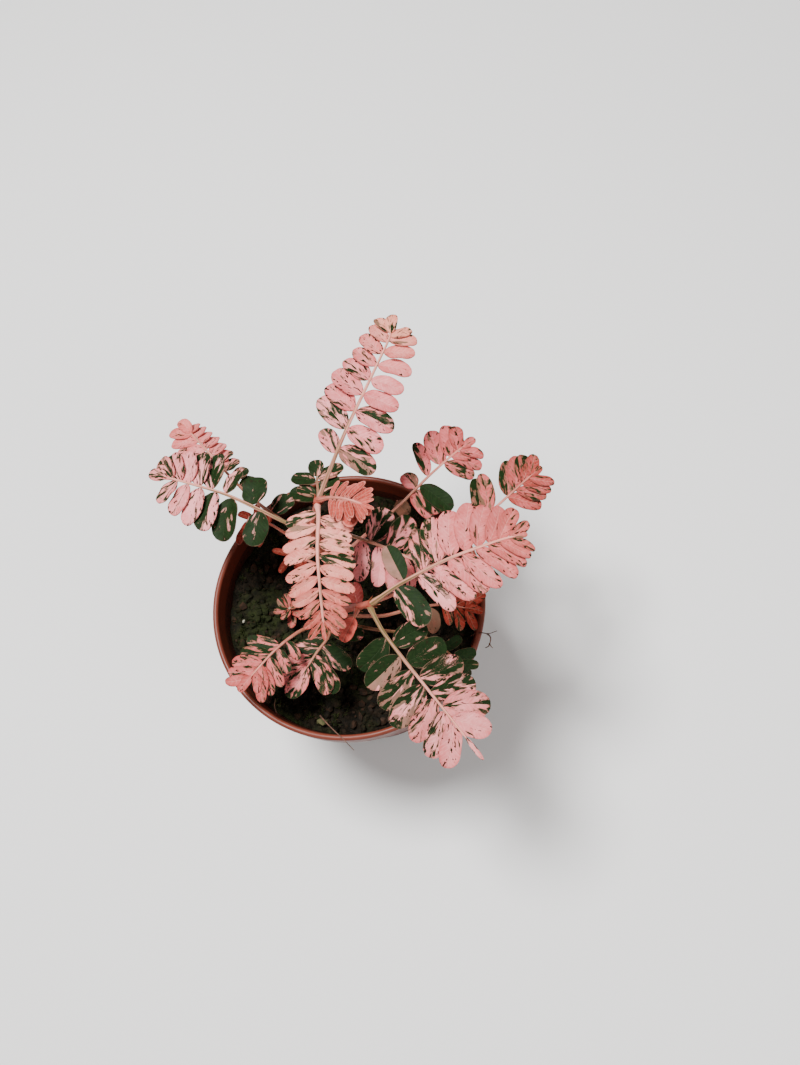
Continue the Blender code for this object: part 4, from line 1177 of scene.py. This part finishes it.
def build_frond(name, settings, materials):
    """One frond: its rachis and its leaflets with their petioles."""
    shape = new_plant_shape()
    route, centre = frond_route(name)
    number = list(FRONDS).index(name)
    chance = random.Random(FROND_SEED + number)
    ends = [(pale, red, 0.0, 0.0) for pale, red in zip(LOOKS[name].pale, LOOKS[name].red)]
    sweep(shape, rachis_stations(route, centre), RACHIS_SIDES, ends, number, ridges=RACHIS_RIDGES)
    left_width, right_width = WIDTH_SHARES.get(name, (1.0, 1.0))
    for index, (place, length, width, side, share) in enumerate(frond_leaves(name, route)):
        look, split = leaf_look(name, index, side, share, chance)
        width *= left_width if side > 0 else right_width
        if name == EDGED_SHOOT:
            turn = math.radians(chance.uniform(-EDGED_TURN, EDGED_TURN))
            place = place @ Matrix.Rotation(turn, 4, "Z")
            length *= chance.uniform(*EDGED_LENGTHS)
        add_blade(shape, place, length, width, look, number * 3.1 + index * 1.37, chance, settings,
                  name in YOUNG_SHOOTS, split)
    if name == OLD_LEAF_FROND:
        out = OLD_LEAF_TIP - OLD_LEAF_ROOT
        add_blade(shape, blade_frame(OLD_LEAF_ROOT, out.normalized()), out.length, OLD_LEAF_WIDTH,
                  OLD_LEAF_LOOK, OLD_LEAF_MARKS, chance, settings, split=(0.0, 0.0, 1.0))
    finish_piece(name + "_leaves", shape, materials, name)


def pot_outer_radius(height):
    wall_top_radius = POT_RIM_RADIUS - COLLAR_STEP - COLLAR_FLARE
    return mix(POT_BASE_RADIUS, wall_top_radius, height / (POT_HEIGHT - COLLAR_HEIGHT))


def pot_inner_radius(height):
    return pot_outer_radius(height) - POT_WALL


def pot_profile():
    """Half outline of the pot: under its foot, up its wall and collar, over its lip and down inside."""
    collar_foot = POT_HEIGHT - COLLAR_HEIGHT
    lip = LIP_WIDTH / 2
    lip_middle = POT_HEIGHT - lip
    outside = pot_outer_radius(collar_foot)
    inside = pot_inner_radius(collar_foot)
    # The small offsets beside the measures round off the corners
    profile = [(0.0, FOOT_RECESS), (POT_BASE_RADIUS - FOOT_RING, FOOT_RECESS),
               (POT_BASE_RADIUS - FOOT_RING + FOOT_RECESS, 0.0), (POT_BASE_RADIUS - FOOT_ROUNDING, 0.0),
               (POT_BASE_RADIUS - 0.25, 0.2), (pot_outer_radius(FOOT_ROUNDING), FOOT_ROUNDING),
               (pot_outer_radius(collar_foot - 0.5), collar_foot - 0.5), (outside + 0.25, collar_foot),
               (outside + COLLAR_STEP, collar_foot + COLLAR_STEP),
               (POT_RIM_RADIUS - 0.12, lip_middle - 0.9)]
    for step in range(LIP_STEPS + 1):
        outward, upward = on_circle(lip, math.pi * step / LIP_STEPS)
        profile.append((POT_RIM_RADIUS - lip + outward, lip_middle + upward))
    floor_edge = POT_FLOOR + FLOOR_ROUNDING
    profile += [(POT_RIM_RADIUS - LIP_WIDTH - 0.25, lip_middle - 1.2), (inside + 0.1, collar_foot + 0.6),
                (inside, collar_foot), (pot_inner_radius(floor_edge), floor_edge),
                (pot_inner_radius(POT_FLOOR) - FLOOR_ROUNDING, POT_FLOOR), (0.0, POT_FLOOR)]
    return profile


def lathe(profile, sides):
    """A closed turned solid from (radius, height) points that start and end on the axis."""
    shape = bmesh.new()
    corners = [shape.verts.new((radius, 0.0, height)) for radius, height in profile]
    edges = [shape.edges.new(pair) for pair in zip(corners, corners[1:])]
    bmesh.ops.spin(shape, geom=corners + edges, cent=(0, 0, 0), axis=(0, 0, 1), steps=sides,
                   angle=math.tau, use_merge=True)
    bmesh.ops.remove_doubles(shape, verts=shape.verts, dist=MERGE_DISTANCE)
    return shape


def cut_drains(pot):
    """Cut a ring of drain holes through the pot's floor."""
    shape = bmesh.new()
    for index in range(DRAIN_HOLES):
        x, y = on_circle(DRAIN_HOLE_RING, math.tau * (index + 0.5) / DRAIN_HOLES)
        bmesh.ops.create_cone(shape, cap_ends=True, segments=DRAIN_HOLE_SIDES,
                              radius1=DRAIN_HOLE_RADIUS * MM, radius2=DRAIN_HOLE_RADIUS * MM,
                              depth=4 * POT_FLOOR * MM, matrix=Matrix.Translation((x * MM, y * MM, 0.0)))
    cutter = new_object("drain_cutter", shape)
    boolean = pot.modifiers.new("Drains", "BOOLEAN")
    boolean.operation = "DIFFERENCE"
    boolean.object = cutter
    boolean.solver = "EXACT"
    graph = bpy.context.evaluated_depsgraph_get()
    cut = bpy.data.meshes.new_from_object(pot.evaluated_get(graph))
    pot.modifiers.clear()
    pot.data = cut
    cut.name = pot.name
    bpy.data.objects.remove(cutter, do_unlink=True)


def soil_height(x, y):
    """Lumpy top of the soil, lower at the wall."""
    reach = math.hypot(x, y) / pot_inner_radius(SOIL_TOP)
    lump = noise.noise(Vector((x, y, SOIL_SEED)) * SOIL_LUMP_SCALE) * SOIL_LUMPS
    return SOIL_TOP + lump - SOIL_EDGE_FALL * reach ** 4


def place_on_soil(chance, reach):
    """A chance place on the soil, within a distance of the pot's axis."""
    turn = chance.uniform(0, math.tau)
    return on_circle(reach * math.sqrt(chance.random()), turn)


def soil_block(cells, rim):
    """Body of the soil, with a rough lumpy top and a flat underside over the pot's floor."""
    low = POT_FLOOR + GAP
    shrink = (pot_inner_radius(low) - GAP) / rim
    shape = bmesh.new()
    bmesh.ops.create_grid(shape, x_segments=cells, y_segments=cells, size=1.0)
    for corner in shape.verts:
        x, y = (part * rim for part in square_to_disc(corner.co.x, corner.co.y))
        rough = noise.fractal(Vector((x, y, 3.0)) * SOIL_CRUMBLE_SCALE, 0.7, 2.1, 5) * SOIL_CRUMBLE
        corner.co = (x, y, soil_height(x, y) + rough)
    for corner in only(BMVert, bmesh.ops.extrude_face_region(shape, geom=list(shape.faces))):
        corner.co = (corner.co.x * shrink, corner.co.y * shrink, low)
    return shape


def add_crumb(shape, x, y, rise, size, chance, finish):
    """A rough lump set at a chance angle, its middle above the soil by a share of its size."""
    turned = chance_turn(chance, -CRUMB_TURN, CRUMB_TURN)
    stretched = Matrix.Diagonal((chance.uniform(0.8, 1.5), chance.uniform(0.7, 1.1), 0.7, 1.0))
    place = Matrix.Translation((x, y, soil_height(x, y) + size * rise)) @ turned @ stretched
    corners = bmesh.ops.create_icosphere(shape, subdivisions=1, radius=size, matrix=place)["verts"]
    for corner in corners:
        corner.co += Vector([chance.uniform(-1, 1) for _ in range(3)]) * size * CRUMB_ROUGHNESS
    paint(faces_round(corners), finish)


def add_tuft(shape, x, y, chance):
    """A tuft of moss: thin pointed leaves that lean out from one place."""
    root = Matrix.Translation((x, y, soil_height(x, y) + 0.2))
    for _ in range(chance.randint(*MOSS_LEAVES)):
        lean = chance_turn(chance, *MOSS_LEAF_TURNS)
        height = chance.uniform(*MOSS_LEAF_HEIGHTS)
        bmesh.ops.create_cone(shape, cap_ends=True, segments=3, radius1=chance.uniform(*MOSS_LEAF_RADII),
                              radius2=MOSS_LEAF_TIP, depth=height,
                              matrix=root @ lean @ Matrix.Translation((0.0, 0.0, height / 2.0)))


def stem_stations(name):
    """Places and radii up a stem, from its hole in the soil to its top, swollen at its nodes."""
    stem = STEMS[name]
    nodes = {frond.height for frond in FRONDS.values() if frond.stem == name}
    fine = [Vector((*stem.route[0][:2], STEM_FOOT))] + smooth_route(stem.route, STEM_STEP)
    stations = []
    for place in fine:
        rise = max(0.0, (place.z - SOIL_TOP) / (fine[-1].z - SOIL_TOP))
        swollen = max(swelling(place.z - node, NODE_REACH) for node in nodes)
        stations.append((place, mix(*stem.radii, rise) * (STEM_SLIMNESS + NODE_SWELLING * swollen)))
    return stations


def add_node_scales(shape, name, number):
    """Two red scales on a stem beside each frond that leaves it."""
    chance = random.Random(STEM_SEED + number)
    for frond in FRONDS.values():
        if frond.stem != name:
            continue
        centre, upward, radius = stem_at_height(name, frond.height)
        toward = Vector(frond.route[0]) - centre
        toward = (toward - upward * toward.dot(upward)).normalized()
        size = TOP_SCALE if frond.height > TOP_NODES else LOW_SCALE
        for turn in (-SCALE_TURN, SCALE_TURN):
            turn += chance.uniform(-SCALE_STRAY, SCALE_STRAY)
            out = Matrix.Rotation(turn, 3, upward) @ toward
            root = centre + out * radius * 0.9 - upward * 0.4
            look = (0.1, chance.uniform(0.75, 1.0), 0.0, 0.0)
            add_scale(shape, root, out, upward, size, look, SCALE_MARKS + number)


class ADDMESH_OT_bitter_pot(Operator):
    """Turned plastic pot with a rolled lip, a collar and drain holes"""

    bl_idname = "mesh.bitter_pot"
    bl_label = "Pot"

    def execute(self, context):
        settings = context.scene.bitter_pot
        shape = lathe(pot_profile(), settings.sides)
        plastic = plastic_material(settings)
        cut_drains(finish_piece("pot_turned", shape, [plastic], "pot", 20.0))
        return {"FINISHED"}


class ADDMESH_OT_bitter_soil(Operator):
    """Lumpy damp soil with crumbs, bark bits, moss and a few pale grains"""

    bl_idname = "mesh.bitter_soil"
    bl_label = "Soil"

    def execute(self, context):
        settings = context.scene.bitter_soil
        rim = pot_inner_radius(SOIL_TOP) - GAP
        chance = random.Random(SOIL_SEED)
        shape = soil_block(settings.cells, rim)
        for _ in range(settings.crumbs):
            x, y = place_on_soil(chance, rim - 1.2)
            size = chance.choice(CRUMB_SIZES) * chance.uniform(0.7, 1.3)
            finish = BARK if chance.random() < BARK_SHARE else EARTH
            add_crumb(shape, x, y, CRUMB_RISE, size, chance, finish)
        for x, y, size, finish in PALE_GRAINS:
            add_crumb(shape, x, y, GRAIN_RISE, size, chance, finish)
        finishes = [earth_material(settings),
                    bit_material("bark bits", settings.bark, BARK_DARK, 500.0),
                    bit_material("pale grain", *GRAIN_TONES, 300.0),
                    bit_material("mossy husk", *HUSK_TONES, 420.0)]
        finish_piece("soil_lumpy", shape, finishes, "soil", 30.0)
        carpet = bmesh.new()
        for _ in range(settings.tufts):
            x, y = place_on_soil(chance, rim - 1.5)
            patch = noise.noise(Vector((x, y, 40.0)) * MOSS_PATCH_SCALE)
            if patch + MOSS_LEAN[0] * x + MOSS_LEAN[1] * y >= chance.uniform(*MOSS_LIMITS):
                add_tuft(carpet, x, y, chance)
        moss = bit_material("moss", settings.moss, MOSS_LIGHT, 420.0, 0.75)
        finish_piece("moss_tufts", carpet, [moss], None, 60.0)
        return {"FINISHED"}


class ADDMESH_OT_bitter_stems(Operator):
    """Two upright stems with swollen nodes and small red scales at each"""

    bl_idname = "mesh.bitter_stems"
    bl_label = "Stems"

    def execute(self, context):
        materials = leaf_finishes(context.scene.bitter_leaf)
        for number, name in enumerate(STEMS):
            shape = new_plant_shape()
            sweep(shape, stem_stations(name), STEM_SIDES, STEM_LOOKS, STEM_MARKS + number,
                  guide=BACKWARD, ridges=STEM_RIDGES)
            add_node_scales(shape, name, number)
            finish_piece(name + "_skin", shape, materials, name)
        return {"FINISHED"}


class ADDMESH_OT_bitter_fronds(Operator):
    """Fronds of pink and green leaflets in two rows along pale rachises"""

    bl_idname = "mesh.bitter_fronds"
    bl_label = "Fronds"

    def execute(self, context):
        settings = context.scene.bitter_leaf
        for name in FRONDS:
            if name not in YOUNG_SHOOTS:
                build_frond(name, settings, leaf_finishes(settings))
        return {"FINISHED"}


class ADDMESH_OT_bitter_shoots(Operator):
    """Young coral shoots with narrow folded leaflets"""

    bl_idname = "mesh.bitter_shoots"
    bl_label = "Young shoots"

    def execute(self, context):
        settings = context.scene.bitter_leaf
        for name in YOUNG_SHOOTS:
            upper = "edged young leaf" if name == EDGED_SHOOT else "young coral leaf"
            finishes = leaf_finishes(settings, upper, "young underside")
            build_frond(name, settings, finishes)
        return {"FINISHED"}


class ADDMESH_OT_bitter_seedling(Operator):
    """Small seedling beside the stems"""

    bl_idname = "mesh.bitter_seedling"
    bl_label = "Seedling"

    def execute(self, context):
        settings = context.scene.bitter_leaf
        shape = new_plant_shape()
        chance = random.Random(SEEDLING_SEED)
        x, y = SEEDLING_PLACE
        stations = []
        for step in range(SEEDLING_STEPS + 1):
            share = step / SEEDLING_STEPS
            place = Vector((x, y, mix(STEM_FOOT, SEEDLING_TOP, share)))
            stations.append((place, mix(*SEEDLING_RADII, share)))
        sweep(shape, stations, SEEDLING_SIDES, SEEDLING_LOOKS, SEEDLING_MARKS, guide=BACKWARD)
        for index in range(SEEDLING_LEAVES):
            share = index / (SEEDLING_LEAVES - 1)
            turn = math.radians(SEEDLING_LEAF_TURN * index)
            rise = math.radians(mix(*SEEDLING_LEAF_RISE, share))
            length = mix(*SEEDLING_LEAF_LENGTHS, share)
            out = Vector((*on_circle(math.cos(rise), turn), math.sin(rise)))
            place = blade_frame((x, y, mix(*SEEDLING_LEAF_HEIGHTS, share)), out)
            # Rosy leaves darkened with green and grey: painted shade, as the seedling stands in the shade of
            # the fronds above
            look = (chance.uniform(0.25, 0.50), chance.uniform(0.75, 1.0), 0.4)
            add_blade(shape, place, length, length * SEEDLING_PLUMPNESS, look, SEEDLING_LEAF_MARKS + index,
                      chance, settings)
        finish_piece("seedling_leaves", shape, leaf_finishes(settings), "seedling")
        return {"FINISHED"}


class ADDMESH_OT_bitter_roots(Operator):
    """Fine root fibres that stick out over the rim"""

    bl_idname = "mesh.bitter_roots"
    bl_label = "Root fibres"

    def execute(self, context):
        shape = new_plant_shape()
        for number, route in enumerate(ROOT_FIBRES):
            fine = smooth_route(route, FIBRE_STEP)
            stations = [(place, mix(*FIBRE_RADII, index / (len(fine) - 1)))
                        for index, place in enumerate(fine)]
            sweep(shape, stations, FIBRE_SIDES, FIBRE_LOOKS, FIBRE_MARKS + number, finish=0,
                  guide=FIBRE_GUIDE)
        fibre = bit_material("root fibre", *FIBRE_TONES, 400.0, 0.7)
        finish_piece("root_fibres", shape, [fibre], None)
        return {"FINISHED"}


def add_floor(tone):
    """Large pale floor just under the pot, faintly clouded."""
    wires = Surface("pale floor", Roughness=0.9)
    cloud = wires.noise(wires.place(), 3.0, 3.0)
    clouded = wires.blend(cloud.between(0.3, 0.7, 0.0, 0.05), tone, FLOOR_CLOUD)
    wires.feed(wires.shader, {"Base Color": clouded})
    shape = bmesh.new()
    bmesh.ops.create_grid(shape, x_segments=1, y_segments=1, size=FLOOR_REACH)
    floor = new_object("floor", shape)
    floor.data.materials.append(wires.material)
    floor.location.z = -FLOOR_DROP


def add_light(scene, name, power, place, width):
    """A round soft light that faces the plant."""
    lamp = bpy.data.lights.new(name, "AREA")
    lamp.energy = power
    lamp.shape = "DISK"
    lamp.size = width
    light = bpy.data.objects.new(name, lamp)
    light.location = place
    light.rotation_mode = "QUATERNION"
    light.rotation_quaternion = (Vector(LIGHTS_AIM) * MM - Vector(place)).to_track_quat("-Z", "Y")
    scene.collection.objects.link(light)


def add_camera(scene):
    """The camera at the photograph's view."""
    lens = bpy.data.cameras.new("camera")
    lens.lens = CAMERA_LENS
    lens.sensor_width = SENSOR
    lens.clip_start = 0.01
    lens.clip_end = 20.0
    camera = bpy.data.objects.new("camera", lens)
    place = Vector(CAMERA_PLACE) * MM
    back = (place - Vector(CAMERA_TARGET) * MM).normalized()
    right = BACKWARD.cross(back).normalized()
    camera.matrix_world = axes_at(place, right, back.cross(right), back)
    scene.collection.objects.link(camera)
    scene.camera = camera


class ADDMESH_OT_bitter_stage(Operator):
    """Plain pale floor, soft lights and the camera"""

    bl_idname = "mesh.bitter_stage"
    bl_label = "Stage"

    def execute(self, context):
        scene = context.scene
        settings = scene.bitter_stage
        add_floor(settings.floor)
        add_light(scene, "key_light", settings.key, *KEY_LIGHT)
        add_light(scene, "fill_light", settings.fill, *FILL_LIGHT)
        scene.world = bpy.data.worlds.new("studio")
        scene.world.use_nodes = True
        background = scene.world.node_tree.nodes["Background"]
        background.inputs["Color"].default_value = SKY
        background.inputs["Strength"].default_value = settings.sky
        add_camera(scene)
        return {"FINISHED"}


class VIEW3D_PT_bitter(Panel):
    bl_label = "Chamber Bitter"
    bl_idname = "VIEW3D_PT_bitter"
    bl_space_type = "VIEW_3D"
    bl_region_type = "UI"
    bl_category = "Chamber Bitter"

    def draw(self, context):
        for name, _ in SETTINGS:
            group = getattr(context.scene, name)
            box = self.layout.box()
            for key in group.bl_rna.properties.keys():
                if key not in ("rna_type", "name"):
                    box.prop(group, key)
        for operator in OPERATORS:
            self.layout.operator(operator.bl_idname)


SETTINGS = (("bitter_pot", PotSettings), ("bitter_soil", SoilSettings), ("bitter_leaf", LeafSettings),
            ("bitter_stage", StageSettings))
OPERATORS = (ADDMESH_OT_bitter_pot, ADDMESH_OT_bitter_soil, ADDMESH_OT_bitter_stems,
             ADDMESH_OT_bitter_fronds, ADDMESH_OT_bitter_shoots, ADDMESH_OT_bitter_seedling,
             ADDMESH_OT_bitter_roots, ADDMESH_OT_bitter_stage)


def register():
    for name, group in SETTINGS:
        bpy.utils.register_class(group)
        setattr(bpy.types.Scene, name, PointerProperty(type=group))
    for kind in OPERATORS + (VIEW3D_PT_bitter,):
        bpy.utils.register_class(kind)


def unregister():
    for kind in reversed(OPERATORS + (VIEW3D_PT_bitter,)):
        bpy.utils.unregister_class(kind)
    for name, group in reversed(SETTINGS):
        delattr(bpy.types.Scene, name)
        bpy.utils.unregister_class(group)


def main():
    register()
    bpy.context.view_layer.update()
    for operator in OPERATORS:
        area, action = operator.bl_idname.split(".")
        getattr(getattr(bpy.ops, area), action)()


if __name__ == "__main__":
    main()
